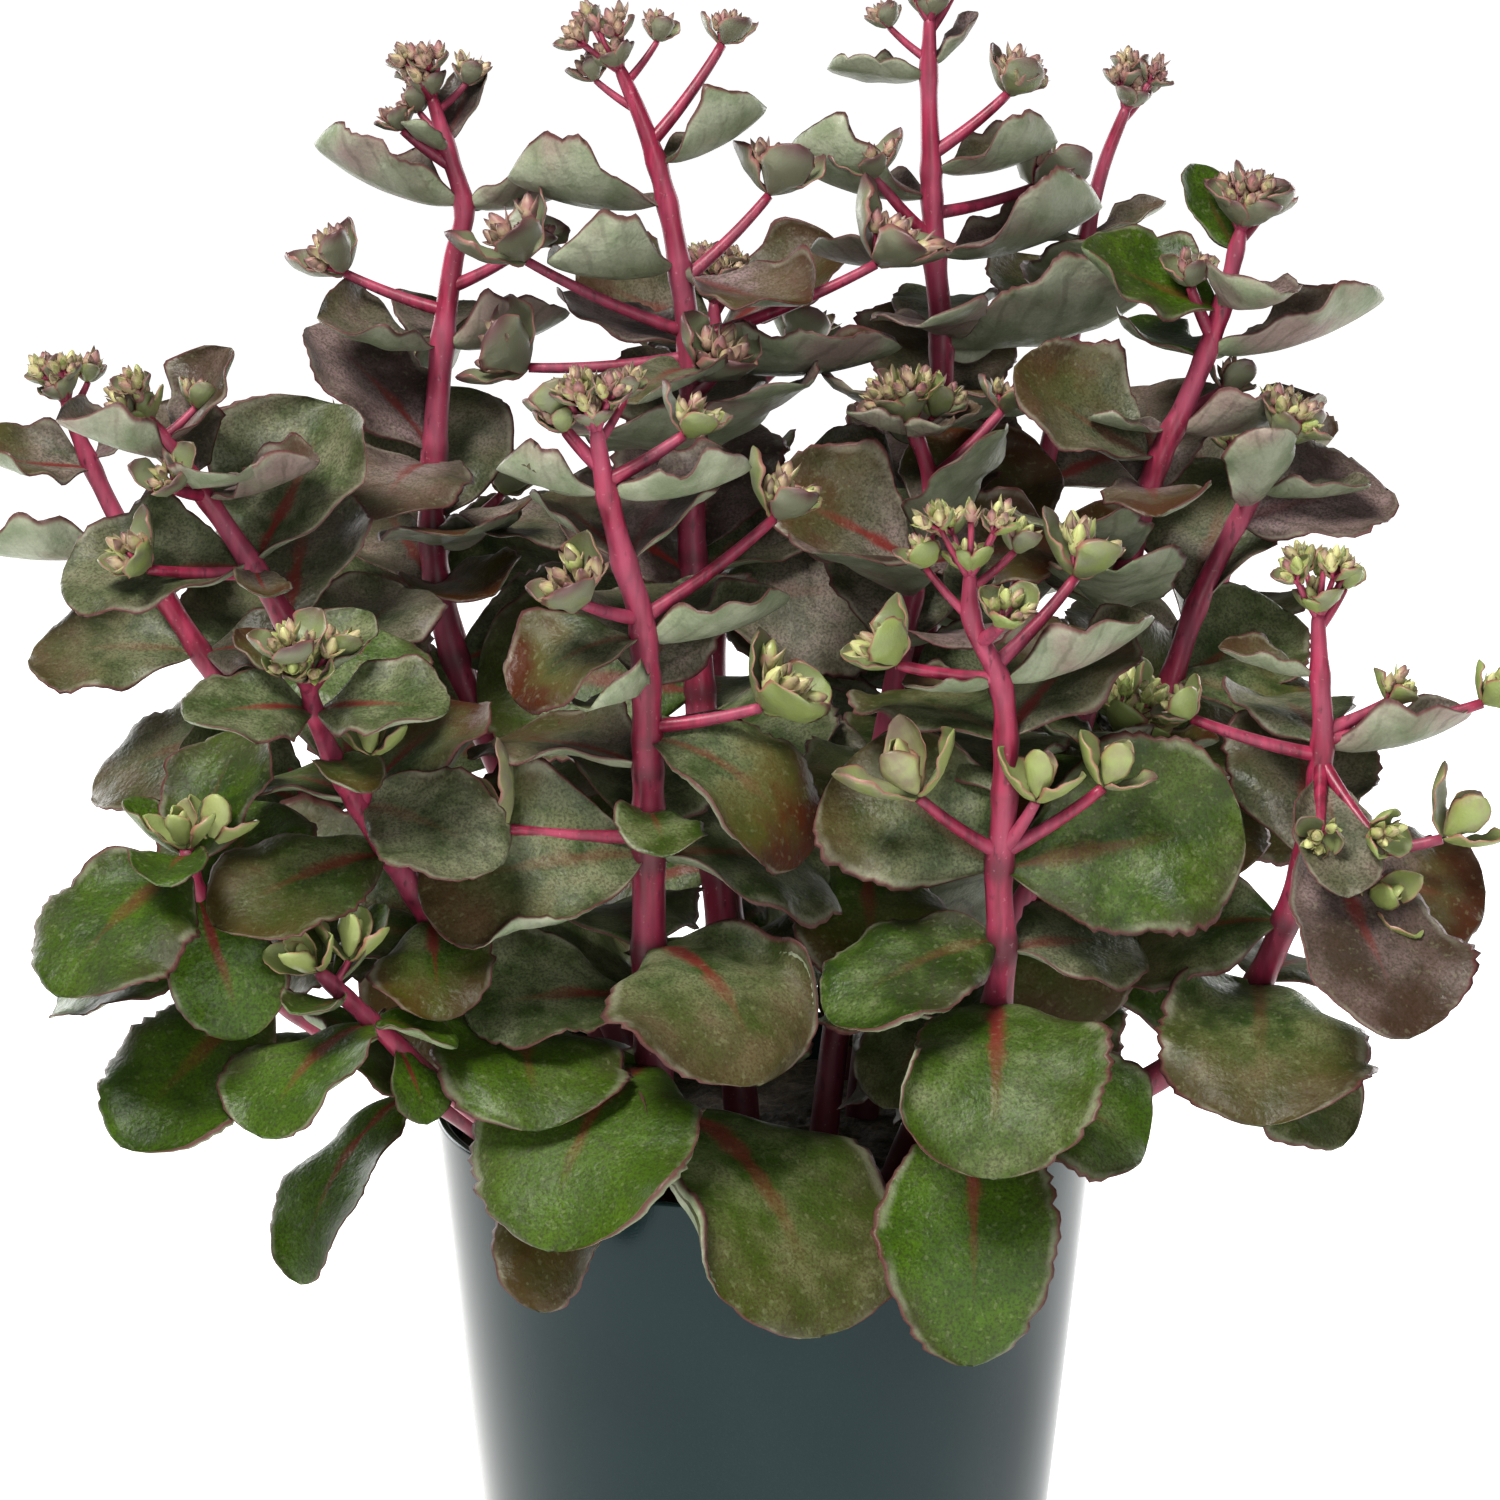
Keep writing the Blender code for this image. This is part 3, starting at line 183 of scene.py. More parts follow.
# %% The stems
# A leaf row is (height, azimuth, rise, length, width, bend, cup, roll) and a shoot row is
# (height, azimuth, rise, length, size), in millimetres and degrees. Azimuth 270 faces the viewer.
STEMS = {
    "stem_centre_front": Stem(
        radius=4.7,
        route=[(-22, -50, 149), (-26, -57, 172), (-28, -62, 206), (-28, -66, 240), (-28, -70, 270),
               (-29, -72, 297), (-33, -76, 313), (-37, -80, 331), (-39, -82, 345)],
        leaves=[
            (175, 306, 6, 82, 66, 88, 12, 0),
            (187, 228, 14, 68, 60, 84, 14, 0),
            (217, 304, 18, 56, 56, 88, -14, 0),
            (241, 196, 6, 55, 48, 40, 12, 46),
            (270, 328, 0, 50, 38, 86, 16, -26),
            (294, 12, -5, 36, 36, -38, 60, 14),
            (294, 205, 4, 34, 28, 66, 14, 24),
            (285, 246, -25, 24, 24, -38, 56, -20),
            (329, 8, -9, 34, 34, -38, 66, 14),
            (329, 176, -6, 26, 26, -38, 66, -14),
            (312, 60, 40, 36, 30, 20, 25, 0),
            (312, 138, 36, 30, 24, 20, 30, 0),
            (204, 176, -6, 62, 52, 38, 14, 30),
            (240, 24, 4, 54, 46, 44, 16, -24),
            (170, 214, 4, 60, 36, 84, 12, 0),
            (217, 108, 15, 54, 46, 40, 20, 0),
            (191, 56, 2, 52, 44, 40, 20, 0),
            (262, 150, 16, 46, 40, 30, 20, 0),
            (252, 280, 4, 26, 22, 30, 30, 0),
            (282, 84, 52, 46, 42, 16, 24, 0),
            (246, 92, 50, 50, 44, 18, 22, 0),
        ],
        shoots=[(270, 351, 6, 26, 12), (243, 186, 21, 32, 12), (296, 20, 42, 38, 10),
                (329, 10, 24, 20, 8), (296, 222, 12, 17, 10), (332, 168, 42, 14, 7)],
        crown=(2, 12, 5),
        pairs=None,
    ),
    "stem_front_right": Stem(
        radius=4.0,
        route=[(40, -52, 149), (46, -61, 172), (53, -73, 200), (55, -79, 219), (54, -80, 239),
               (55, -82, 259), (54, -84, 284), (47, -85, 300), (46, -85, 312)],
        leaves=[
            (207, 266, 10, 58, 52, 84, 14, 0),
            (184, 268, -14, 74, 40, 70, 10, 0),
            (241, 168, 36, 44, 44, 26, 20, 58),
            (241, 355, 14, 57, 47, 16, 16, -62),
            (221, 24, 4, 38, 34, 20, 16, -24),
            (286, 8, 3, 39, 36, -38, 60, 12),
            (286, 178, -13, 22, 17, -26, 40, 0),
            (259, 92, 25, 44, 38, 40, 25, 0),
            (224, 208, -8, 46, 40, 40, 16, 20),
            (200, 118, 10, 54, 46, 40, 20, 0),
            (186, 342, -2, 44, 38, 44, 12, -24),
            (302, 92, 22, 18, 13, -26, 50, 0),
            (272, 134, 40, 42, 36, 24, 22, 0),
            (272, 46, 40, 42, 36, 24, 22, 0),
            (243, 70, 50, 48, 42, 18, 22, 0),
        ],
        shoots=[(287, 22, 38, 27, 11), (284, 187, 4, 23, 9), (242, 205, 52, 25, 12),
                (242, 316, 48, 16, 9), (242, 345, 30, 28, 8), (293, 296, 24, 10, 7)],
        crown=(2, 16, 5),
        pairs=None,
    ),
    "stem_right_front": Stem(
        radius=3.9,
        route=[(56, -28, 149), (66, -31, 162), (80, -35, 170), (93, -39, 176), (106, -46, 188),
               (118, -56, 206), (127, -66, 238), (130, -70, 268), (129, -70, 284), (128, -70, 300)],
        leaves=[
            (246, 290, -26, 60, 40, 22, 12, 0),
            (238, 352, -4, 44, 38, 26, 12, -36),
            (207, 264, 6, 56, 50, 56, 12, 0),
            (262, 276, -34, 36, 22, 10, 30, 0),
            (268, 10, -8, 38, 34, -38, 60, 12),
            (268, 100, 20, 40, 32, 30, 30, 0),
            (285, 170, 2, 24, 17, -26, 50, 0),
            (207, 60, 5, 50, 42, 30, 16, 0),
            (224, 172, 5, 44, 36, 38, 16, 26),
            (190, 322, -8, 42, 34, 44, 12, -10),
            (240, 84, 50, 44, 38, 18, 22, 0),
        ],
        shoots=[(269, 12, 16, 16, 6), (267, 2, 7, 37, 7), (262, 262, -46, 21, 6),
                (262, 304, -44, 22, 6), (263, 182, 4, 31, 7), (237, 310, -24, 19, 9),
                (237, 350, 6, 31, 10)],
        crown=(1, 13, 5),
        pairs=None,
    ),
    "stem_left_front": Stem(
        radius=3.8,
        route=[(-40, -42, 149), (-50, -47, 172), (-66, -55, 200), (-80, -65, 226), (-92, -76, 250),
               (-99, -84, 266), (-103, -92, 280), (-104, -98, 290)],
        leaves=[
            (281, 222, 14, 33, 28, 22, 20, 22),
            (281, 336, 14, 33, 28, 22, 20, -22),
            (288, 150, 18, 22, 17, -26, 40, 0),
            (288, 52, 24, 24, 19, -26, 40, 0),
            (268, 292, 6, 22, 17, 28, 26, 0),
            (256, 132, 14, 38, 31, 30, 20, 0),
            (256, 350, 2, 40, 32, 38, 16, -32),
            (256, 44, 40, 40, 34, 24, 20, 0),
            (243, 200, -6, 46, 36, 36, 12, 28),
            (232, 62, 10, 42, 34, 38, 16, 0),
            (219, 192, -6, 42, 34, 36, 12, 20),
            (226, 278, -16, 34, 28, 30, 12, 0),
            (184, 60, 6, 50, 42, 40, 16, 0),
            (262, 86, 52, 44, 38, 18, 22, 0),
            (194, 264, 0, 50, 46, 72, 14, 0),
        ],
        shoots=[(284, 256, 34, 12, 8), (252, 300, 38, 14, 7)],
        crown=(1, 9, 6),
        pairs=None,
    ),
    "stem_low_left": Stem(
        radius=3.4,
        route=[(-58, -30, 149), (-74, -41, 168), (-94, -55, 186), (-112, -69, 204), (-126, -80, 221),
               (-132, -85, 236), (-134, -88, 248)],
        leaves=[
            (243, 232, -10, 46, 42, 40, 10, 10),
            (243, 62, 46, 37, 27, 20, 20, 0),
            (246, 264, 8, 25, 18, 20, 30, 0),
            (237, 302, -26, 36, 27, 30, 12, -22),
            (246, 160, 24, 20, 14, -26, 40, 0),
            (222, 176, -4, 46, 36, 38, 12, 26),
            (209, 232, -16, 53, 40, 34, 10, 22),
            (205, 338, 2, 36, 30, 38, 16, 0),
            (190, 122, 6, 48, 40, 38, 16, 0),
            (178, 226, -14, 58, 30, 66, 10, 0),
            (226, 80, 50, 42, 36, 18, 22, 0),
        ],
        shoots=[],
        crown=(1, 6, 8),
        pairs=None,
    ),
    "stem_low_left_small": Stem(
        radius=2.6,
        route=[(-42, -52, 149), (-50, -58, 161), (-60, -65, 170), (-75, -75, 185), (-97, -92, 213),
               (-103, -97, 221)],
        leaves=[
            (217, 150, 26, 21, 14, -26, 40, 0),
            (217, 48, 32, 23, 14, -26, 40, 0),
            (214, 242, -9, 21, 15, -26, 40, 0),
            (207, 330, 20, 22, 16, 20, 30, 0),
            (200, 312, -24, 20, 15, 20, 20, 0),
            (206, 222, -22, 42, 38, 56, 10, 0),
        ],
        shoots=[],
        crown=(1, 4, 8),
        pairs=None,
    ),
    "stem_far_left": Stem(
        radius=4.2,
        route=[(-38, -14, 149), (-52, -18, 175), (-72, -22, 210), (-92, -26, 246), (-112, -30, 282),
               (-122, -30, 300), (-132, -30, 316), (-142, -31, 331), (-148, -32, 340)],
        leaves=[
            (334, 32, 40, 28, 26, -26, 45, 0),
            (331, 200, 10, 30, 32, -20, 50, 0),
            (325, 300, -8, 27, 29, -38, 55, 0),
            (326, 124, 20, 28, 29, -26, 45, 0),
            (321, 346, 6, 30, 32, -26, 50, 0),
            (304, 184, 0, 46, 40, 10, 30, 24),
            (304, 58, 44, 48, 50, -10, 44, 0),
            (304, 288, -23, 20, 15, -26, 45, 0),
            (274, 62, 38, 42, 36, 24, 22, 0),
            (290, 84, 50, 40, 34, 18, 26, 0),
            (260, 100, 50, 46, 40, 18, 22, 0),
        ],
        shoots=[(300, 205, 0, 26, 9), (319, 216, 30, 12, 7)],
        crown=(1, 12, 5),
        pairs=(214, 250, 22),
    ),
    "stem_far_left_back": Stem(
        radius=3.8,
        route=[(-50, 10, 149), (-66, 14, 174), (-92, 18, 205), (-116, 21, 232), (-138, 26, 260),
               (-153, 30, 282), (-166, 31, 304), (-175, 31, 324), (-180, 31, 338)],
        leaves=[
            (320, 204, 2, 32, 34, -20, 44, 16),
            (322, 22, 22, 20, 15, -26, 45, 0),
            (300, 182, -16, 38, 38, -30, 50, -6),
            (300, 350, -8, 26, 18, -26, 45, 0),
            (272, 183, 8, 44, 35, 22, 26, 30),
            (252, 190, -4, 46, 36, 38, 14, 26),
            (286, 88, 20, 34, 26, 20, 35, 0),
            (272, 342, 12, 38, 30, 30, 25, -18),
            (262, 80, 50, 42, 36, 18, 24, 0),
        ],
        shoots=[],
        crown=(1, 9, 5),
        pairs=(206, 232, 112),
    ),
    "stem_left_back": Stem(
        radius=4.5,
        route=[(-30, 28, 149), (-48, 32, 190), (-68, 37, 236), (-82, 40, 270), (-87, 41, 300),
               (-86, 43, 326), (-84, 46, 350), (-81, 49, 372), (-78, 50, 385), (-82, 50, 400),
               (-86, 50, 414)],
        leaves=[
            (386, 180, 4, 42, 41, -38, 75, -16),
            (386, 3, -6, 33, 35, -38, 75, 16),
            (402, 60, 42, 25, 17, -26, 45, 0),
            (400, 232, 8, 17, 13, -26, 50, 0),
            (350, 4, -4, 34, 34, -38, 60, 16),
            (350, 194, 2, 33, 35, -26, 40, 16),
            (352, 92, -1, 32, 30, -26, 40, 0),
            (319, 256, 10, 46, 38, 40, 20, 0),
            (322, 168, 52, 46, 36, 18, 30, 24),
            (302, 340, 15, 46, 38, 28, 26, -14),
            (298, 284, 36, 44, 38, 20, 22, 0),
            (302, 88, 52, 48, 42, 16, 24, 0),
            (268, 4, 14, 52, 46, 24, 14, -56),
        ],
        shoots=[(356, 172, 14, 27, 10), (393, 190, 24, 15, 5), (362, 352, 36, 22, 8)],
        crown=(2, 11, 5),
        pairs=(220, 288, 120),
    ),
    "stem_centre_back": Stem(
        radius=4.7,
        route=[(-6, 16, 149), (-10, 20, 190), (-16, 25, 250), (-19, 29, 300), (-19, 30, 345),
               (-22, 30, 372), (-26, 30, 392), (-31, 30, 408), (-37, 30, 422)],
        leaves=[
            (388, 181, -2, 41, 38, -38, 70, -16),
            (398, 3, 8, 31, 30, -38, 66, 12),
            (372, 206, -14, 35, 36, -38, 66, -16),
            (370, 334, -21, 37, 37, -26, 44, -10),
            (348, 352, -14, 54, 43, -38, 60, 16),
            (352, 150, -3, 40, 30, -26, 36, 0),
            (345, 252, 8, 42, 36, 26, 30, 0),
            (346, 84, 20, 38, 30, 20, 35, 0),
            (322, 232, 38, 46, 40, 20, 22, 0),
            (322, 318, 40, 44, 38, 20, 22, 0),
            (198, 274, 0, 52, 46, 56, 12, 0),
            (324, 92, 54, 48, 42, 14, 24, 0),
            (296, 84, 50, 50, 44, 16, 22, 0),
            (286, 356, 14, 56, 50, 20, 14, -58),
            (262, 182, 10, 58, 52, 24, 14, 58),
            (238, 4, 8, 58, 52, 30, 14, -56),
        ],
        shoots=[(346, 184, -2, 40, 12), (350, 356, 24, 50, 14), (365, 12, 38, 30, 11),
                (336, 296, 12, 14, 11), (352, 190, 26, 44, 12), (400, 20, 46, 30, 7)],
        crown=(2, 14, 5),
        pairs=(216, 292, 20),
    ),
    "stem_right_back": Stem(
        radius=4.5,
        route=[(26, 30, 149), (32, 36, 200), (40, 43, 260), (45, 48, 310), (46, 50, 350),
               (44, 50, 372), (43, 50, 390), (42, 50, 418), (42, 50, 434)],
        leaves=[
            (419, 182, -14, 26, 26, -38, 66, -14),
            (421, 20, 34, 19, 14, -26, 50, 0),
            (388, 180, -2, 40, 40, -38, 74, -16),
            (395, 5, -6, 34, 35, -38, 70, 14),
            (373, 8, -3, 47, 42, -38, 64, 18),
            (373, 190, -8, 32, 32, -38, 60, -14),
            (349, 352, 4, 54, 56, -26, 52, 24),
            (352, 258, 14, 38, 32, 24, 34, 0),
            (352, 84, 20, 38, 30, 20, 35, 0),
            (324, 236, 40, 44, 38, 20, 22, 0),
            (326, 306, 32, 42, 36, 20, 22, 0),
            (328, 86, 54, 48, 42, 14, 24, 0),
            (298, 92, 50, 50, 44, 16, 22, 0),
            (266, 182, 14, 54, 48, 24, 14, 56),
        ],
        shoots=[(396, 8, 32, 24, 10), (381, 16, 26, 32, 10), (374, 200, 40, 22, 8)],
        crown=(2, 14, 5),
        pairs=(222, 296, 30),
    ),
    "stem_right_back_thin": Stem(
        radius=3.4,
        route=[(40, 48, 149), (54, 57, 210), (70, 67, 290), (80, 74, 340), (86, 80, 376),
               (90, 80, 394), (96, 80, 410)],
        leaves=[
            (376, 196, 4, 22, 15, -26, 50, 0),
            (376, 18, 8, 24, 16, -26, 50, 0),
        ],
        shoots=[(350, 20, 40, 22, 8)],
        crown=(1, 11, 5),
        pairs=(230, 350, 10),
    ),
    "stem_right_upper": Stem(
        radius=4.2,
        route=[(46, 6, 149), (58, 4, 190), (74, 2, 240), (88, 1, 290), (97, 0, 324), (104, 0, 340),
               (112, 0, 362), (117, 0, 384)],
        leaves=[
            (378, 118, 36, 27, 19, -26, 36, 0),
            (364, 178, 12, 38, 38, -26, 40, 24),
            (366, 292, -10, 28, 28, -38, 60, 0),
            (353, 3, 5, 47, 41, -38, 64, 14),
            (353, 128, 0, 29, 26, -26, 40, 0),
            (334, 5, -9, 40, 36, -38, 60, 14),
            (334, 186, -4, 21, 15, -26, 50, 0),
            (326, 176, 23, 43, 37, -26, 40, 34),
            (318, 268, 14, 34, 27, 32, 26, 0),
            (300, 230, 44, 42, 36, 20, 22, 0),
            (318, 84, 52, 44, 38, 16, 24, 0),
        ],
        shoots=[(354, 202, 58, 13, 7), (335, 32, 38, 15, 8)],
        crown=(1, 10, 7),
        pairs=(222, 286, 96),
    ),
    "stem_right_mid": Stem(
        radius=4.0,
        route=[(58, -10, 149), (72, -12, 185), (88, -11, 228), (101, -10, 272), (108, -10, 294),
               (118, -10, 315), (127, -10, 332)],
        leaves=[
            (294, 256, 70, 42, 34, 10, 26, 0),
            (290, 196, 56, 42, 32, 14, 26, 30),
            (315, 290, 40, 28, 21, -26, 36, 0),
            (312, 10, 18, 40, 35, 20, 26, -40),
            (320, 350, -8, 28, 19, -26, 50, 0),
            (273, 332, 10, 46, 36, 38, 20, -20),
            (290, 84, 52, 46, 40, 16, 24, 0),
            (256, 92, 50, 48, 42, 18, 22, 0),
        ],
        shoots=[(328, 150, 50, 12, 7)],
        crown=(1, 10, 6),
        pairs=(196, 268, 20),
    ),
    "stem_middle": Stem(
        radius=3.8,
        route=[(14, -18, 149), (20, -16, 200), (30, -10, 260), (38, -4, 300), (41, 0, 320),
               (36, 0, 336)],
        leaves=[
            (333, 200, 6, 19, 15, -26, 45, 0),
            (333, 24, 6, 19, 15, -26, 45, 0),
            (333, 290, 0, 17, 14, -26, 45, 0),
            (305, 326, 58, 38, 31, 10, 26, 0),
            (311, 70, 48, 30, 23, 10, 35, 0),
            (292, 236, 34, 44, 38, 24, 22, 0),
            (280, 300, 24, 44, 38, 30, 20, 0),
            (228, 272, 8, 46, 40, 50, 14, 0),
            (278, 88, 52, 48, 42, 16, 24, 0),
            (252, 184, 12, 54, 48, 24, 14, 56),
        ],
        shoots=[(318, 10, 52, 24, 6)],
        crown=(1, 6, 8),
        pairs=(200, 300, 0),
    ),
    "stem_right_low": Stem(
        radius=3.6,
        route=[(32, -32, 149), (46, -35, 185), (64, -38, 225), (79, -41, 250), (86, -43, 264)],
        leaves=[
            (260, 160, 4, 24, 18, -26, 36, 0),
            (260, 340, 0, 26, 20, -26, 36, 0),
            (262, 252, 2, 22, 17, -26, 36, 0),
            (262, 72, 10, 24, 18, -26, 36, 0),
            (192, 258, -4, 50, 42, 60, 12, 0),
            (238, 86, 50, 44, 38, 18, 22, 0),
        ],
        shoots=[],
        crown=(1, 10, 9),
        pairs=(196, 244, 18),
    ),
    "stem_back_left": Stem(
        radius=3.9,
        route=[(-40, 52, 149), (-56, 64, 190), (-76, 80, 240), (-92, 92, 290), (-98, 98, 330)],
        leaves=[],
        shoots=[(300, 200, 30, 24, 10), (286, 20, 30, 24, 9)],
        crown=(1, 10, 6),
        pairs=(186, 322, 40),
    ),
    "stem_back_centre": Stem(
        radius=4.1,
        route=[(-8, 58, 149), (-10, 72, 195), (-14, 92, 250), (-12, 104, 310), (-14, 108, 356)],
        leaves=[],
        shoots=[(322, 10, 34, 26, 10), (306, 190, 30, 26, 10)],
        crown=(1, 12, 6),
        pairs=(188, 346, 0),
    ),
    "stem_back_right": Stem(
        radius=3.8,
        route=[(64, 30, 149), (84, 46, 190), (106, 62, 240), (122, 72, 280), (130, 76, 312)],
        leaves=[],
        shoots=[(286, 350, 30, 24, 10)],
        crown=(1, 10, 6),
        pairs=(186, 304, 60),
    ),
    "stem_back_low": Stem(
        radius=3.5,
        route=[(22, 66, 149), (34, 84, 184), (48, 104, 224), (56, 118, 262)],
        leaves=[],
        shoots=[],
        crown=(1, 8, 8),
        pairs=(184, 256, 70),
    ),
}
print(len(STEMS), "stems,", sum(len(s.leaves) for s in STEMS.values()), "leaves placed by hand")

# %% [markdown]
# ## One leaf as a surface
#
# A leaf is a function of two numbers: u runs from its root to its tip and v from one edge to the
# other. The midrib is an arc, each half curls up as another arc, and the outline is a sine that is
# swelled to be widest past the middle. With a formula in place of a drawn mesh, the same leaf can
# be asked for coarsely, to test for room, and finely, to be seen.

# %% Directions and routes
def unit(vector):
    """A vector divided by its own length."""
    return vector / np.linalg.norm(vector)


def aim(azimuth, rise, roll=0.0):
    """The direction a blade points in and the direction its upper face looks in."""
    a, r, t = np.radians([azimuth, rise, roll])
    forward = np.array([math.cos(r) * math.cos(a), math.cos(r) * math.sin(a), math.sin(r)])
    up = np.array([-math.sin(r) * math.cos(a), -math.sin(r) * math.sin(a), math.cos(r)])
    return forward, math.cos(t) * up - math.sin(t) * np.cross(forward, up)


def smooth_route(points, steps=12):
    """A Catmull-Rom curve through the points: each span blends its four nearest points."""
    known = np.array(points, float) * MM
    below = known[0] - FOOT_RUN * UPWARD
    known = np.vstack([below, known, 2 * known[-1] - known[-2]])
    t = np.linspace(0, 1, steps, endpoint=False)[:, None]
    spans = []
    for a, b, c, d in zip(known, known[1:], known[2:], known[3:]):
        spans.append(0.5 * (2 * b + (c - a) * t + (2 * a - 5 * b + 4 * c - d) * t**2
                            + (3 * b - a - 3 * c + d) * t**3))
    return np.vstack(spans + [known[-2:-1]])


def stem_point(route, height):
    """Where a stem's axis is at a height."""
    return np.array([np.interp(height, route[:, 2], route[:, axis]) for axis in range(3)])


def tip_axis(route):
    """The direction in which a stem ends."""
    return unit(route[-1] - route[-4])


def stem_radius(stem, route, height):
    """A stem tapers from its full radius at the soil to its thin tip."""
    share = np.clip((route[-1, 2] - height) / (route[-1, 2] - SOIL_TOP), 0, 1)
    return STEM_TIP_RADIUS + (stem.radius * MM - STEM_TIP_RADIUS) * share**STEM_TAPER


# %% The leaf's surface
def half_width(u):
    """A leaf's half width along its length, as a share: a sine swelled to be widest past the middle."""
    power = math.log(0.5) / math.log(WIDEST_AT)
    return np.sin(math.pi * np.clip(u, 0, 1) ** power) ** BLUNTNESS


def blade_surface(blade, u, v, lift=0.0, spread=0.0):
    """Points of a blade. Its midrib is an arc that bends down from root (u=0) to tip (u=1), each half
    curls up as an arc from the midrib (v=0) to its edge (v=-1 or 1), and the edges ripple a little.
    lift raises a point off the middle surface, and spread widens the blade."""
    u, v, lift, spread = np.broadcast_arrays(*(np.asarray(a, float) for a in (u, v, lift, spread)))
    bend = math.copysign(max(abs(blade.bend), LEAST_ANGLE), blade.bend)
    cup = math.copysign(max(abs(blade.cup), LEAST_ANGLE), blade.cup)
    along = blade.length * np.sin(bend * u) / bend
    down = blade.length * (1 - np.cos(bend * u)) / bend
    half = blade.width * half_width(u) + spread
    across = half * np.sin(cup * v) / cup
    ripple = np.sin(2 * math.pi * (1.6 * u + blade.phase) + 1.3 * v)
    height = half * (1 - np.cos(cup * v)) / cup + blade.wave * blade.width * v**2 * ripple + lift
    forward, up = blade.forward, blade.up
    normal = np.sin(bend * u)[..., None] * forward + np.cos(bend * u)[..., None] * up
    return (blade.root + along[..., None] * forward - down[..., None] * up
            + across[..., None] * np.cross(forward, up) + height[..., None] * normal)


print("half way along, a leaf has", round(float(half_width(0.5)), 3), "of its full width")


# %% Side shoots and rings
def shoot_axis(shoot, u):
    """The middle of a side shoot, which curves up by a share of its length."""
    u = np.asarray(u, float)[..., None]
    return shoot.root + shoot.length * (u * shoot.forward + SHOOT_LIFT * u**2 * shoot.up)


def head_axis(shoot):
    """The direction in which the head at a side shoot's end opens: onward, and turned up."""
    return unit(shoot.forward + HEAD_TURN * (shoot.up + UPWARD))


def cross_axes(axis):
    """Two directions square to an axis and to each other."""
    first = unit(np.cross(axis, ANY_DIRECTION))
    return first, np.cross(axis, first)


def ring(centre, axis, radii):
    """Points round a centre, square to an axis, at equal angles and the radii given."""
    first, second = cross_axes(axis)
    angles = np.arange(len(radii)) * 2 * math.pi / len(radii)
    return centre + np.outer(radii * np.cos(angles), first) + np.outer(radii * np.sin(angles), second)


def tube(rings):
    """A closed tube from rings of points: its sides, and a flat cap at each end."""
    count, sides = len(rings), len(rings[0])
    faces = []
    for i in range(count - 1):
        for j in range(sides):
            a, b = i * sides + j, i * sides + (j + 1) % sides
            faces += [(a, b, b + sides), (a, b + sides, a + sides)]
    last = (count - 1) * sides
    for j in range(1, sides - 1):
        faces += [(0, j + 1, j), (last, last + j, last + j + 1)]
    return np.vstack(rings), faces


def straight_runs(route, first, last):
    """Which points of a route to keep, so that it is straight between them to within STRAY."""
    run = route[first:last + 1] - route[first]
    chord = unit(run[-1])
    stray = np.linalg.norm(run - np.outer(run @ chord, chord), axis=1)
    if stray.max() < STRAY:
        return [first, last]
    middle = first + int(stray.argmax())
    return straight_runs(route, first, middle)[:-1] + straight_runs(route, middle, last)


def stem_rings(stem, route, sides, swell=0.0):
    """Rings up a stem: straight down in its hole, and then wherever its route turns."""
    kept = straight_runs(route, 0, len(route) - 1)
    centres = np.vstack([route[0] - ROOT_DEPTH * UPWARD, route[kept]])
    axes = np.vstack([UPWARD, np.gradient(route, axis=0)[kept]])
    axes[1] = UPWARD
    rings = []
    for centre, axis in zip(centres, axes):
        radius = stem_radius(stem, route, centre[2]) + swell
        rings.append(ring(centre, unit(axis), np.full(sides, radius)))
    return rings


print("the foot of a stem stands", round(ROOT_DEPTH / MM), "mm deep in the mix")

# %% [markdown]
# ## Letting it grow
#
# Stems are grown from front to back. Each leaf or shoot is tried as its table row has it and then
# bent a little further each time until it meets nothing that has grown already, just as real leaves
# push each other aside. A leaf with no room is left out. The shells that are compared are coarse,
# so this takes seconds.

# %% Rows into blades and shoots
def new_blade(stem, route, row, wave, phase):
    """A blade from one row of a leaf table, rooted part way from the stem's axis to its skin."""
    values = dict(zip(LEAF_COLUMNS, row))
    forward, up = aim(values["azimuth"], values["rise"], values["roll"])
    height = values["height"] * MM
    sunk = ROOT_SHARE * stem_radius(stem, route, height)
    return Blade(root=stem_point(route, height) + sunk * forward, forward=forward, up=up,
                 length=values["length"] * MM, width=values["width"] / 2 * MM,
                 bend=math.radians(values["bend"]), cup=math.radians(values["cup"]),
                 wave=wave, phase=phase, sunk=sunk)


def new_shoot(stem, route, row, radius):
    """A side shoot from one row of a shoot table, rooted just above the leaf that it stands in."""
    values = dict(zip(SHOOT_COLUMNS, row))
    forward, up = aim(values["azimuth"], values["rise"])
    height = (values["height"] + AXIL_STEP) * MM
    sunk = ROOT_SHARE * stem_radius(stem, route, height)
    return Shoot(root=stem_point(route, height) + sunk * forward, forward=forward, up=up,
                 length=values["length"] * MM, size=values["size"] * MM, radius=radius * MM,
                 sunk=sunk)


def pair_rows(pairs, draw):
    """Leaf rows for plain pairs that climb a stem, each pair turned a quarter from the last. The side
    of a leaf that is nearer the viewer hangs a little."""
    if pairs is None:
        return []
    low, high, azimuth = pairs
    count = max(2, round((high - low) / PAIR_SPACING) + 1)
    rows = []
    for i, share in enumerate(np.linspace(0, 1, count)):
        length, rise, bend, cup = (
            first + (last - first) * share
            for first, last in (PAIR_LENGTH, PAIR_RISE, PAIR_BEND, PAIR_CUP))
        for side in (0, 180):
            turn, tilt, tip = draw.uniform(-PAIR_JITTER, PAIR_JITTER, 3)
            heading = azimuth + 90 * i + side + turn
            roll = tip - PAIR_ROLL * math.cos(math.radians(heading))
            rows.append((low + (high - low) * share, heading, rise + tilt / 2, length,
                         PAIR_WIDTH * length, bend + tilt, cup, roll))
    return rows


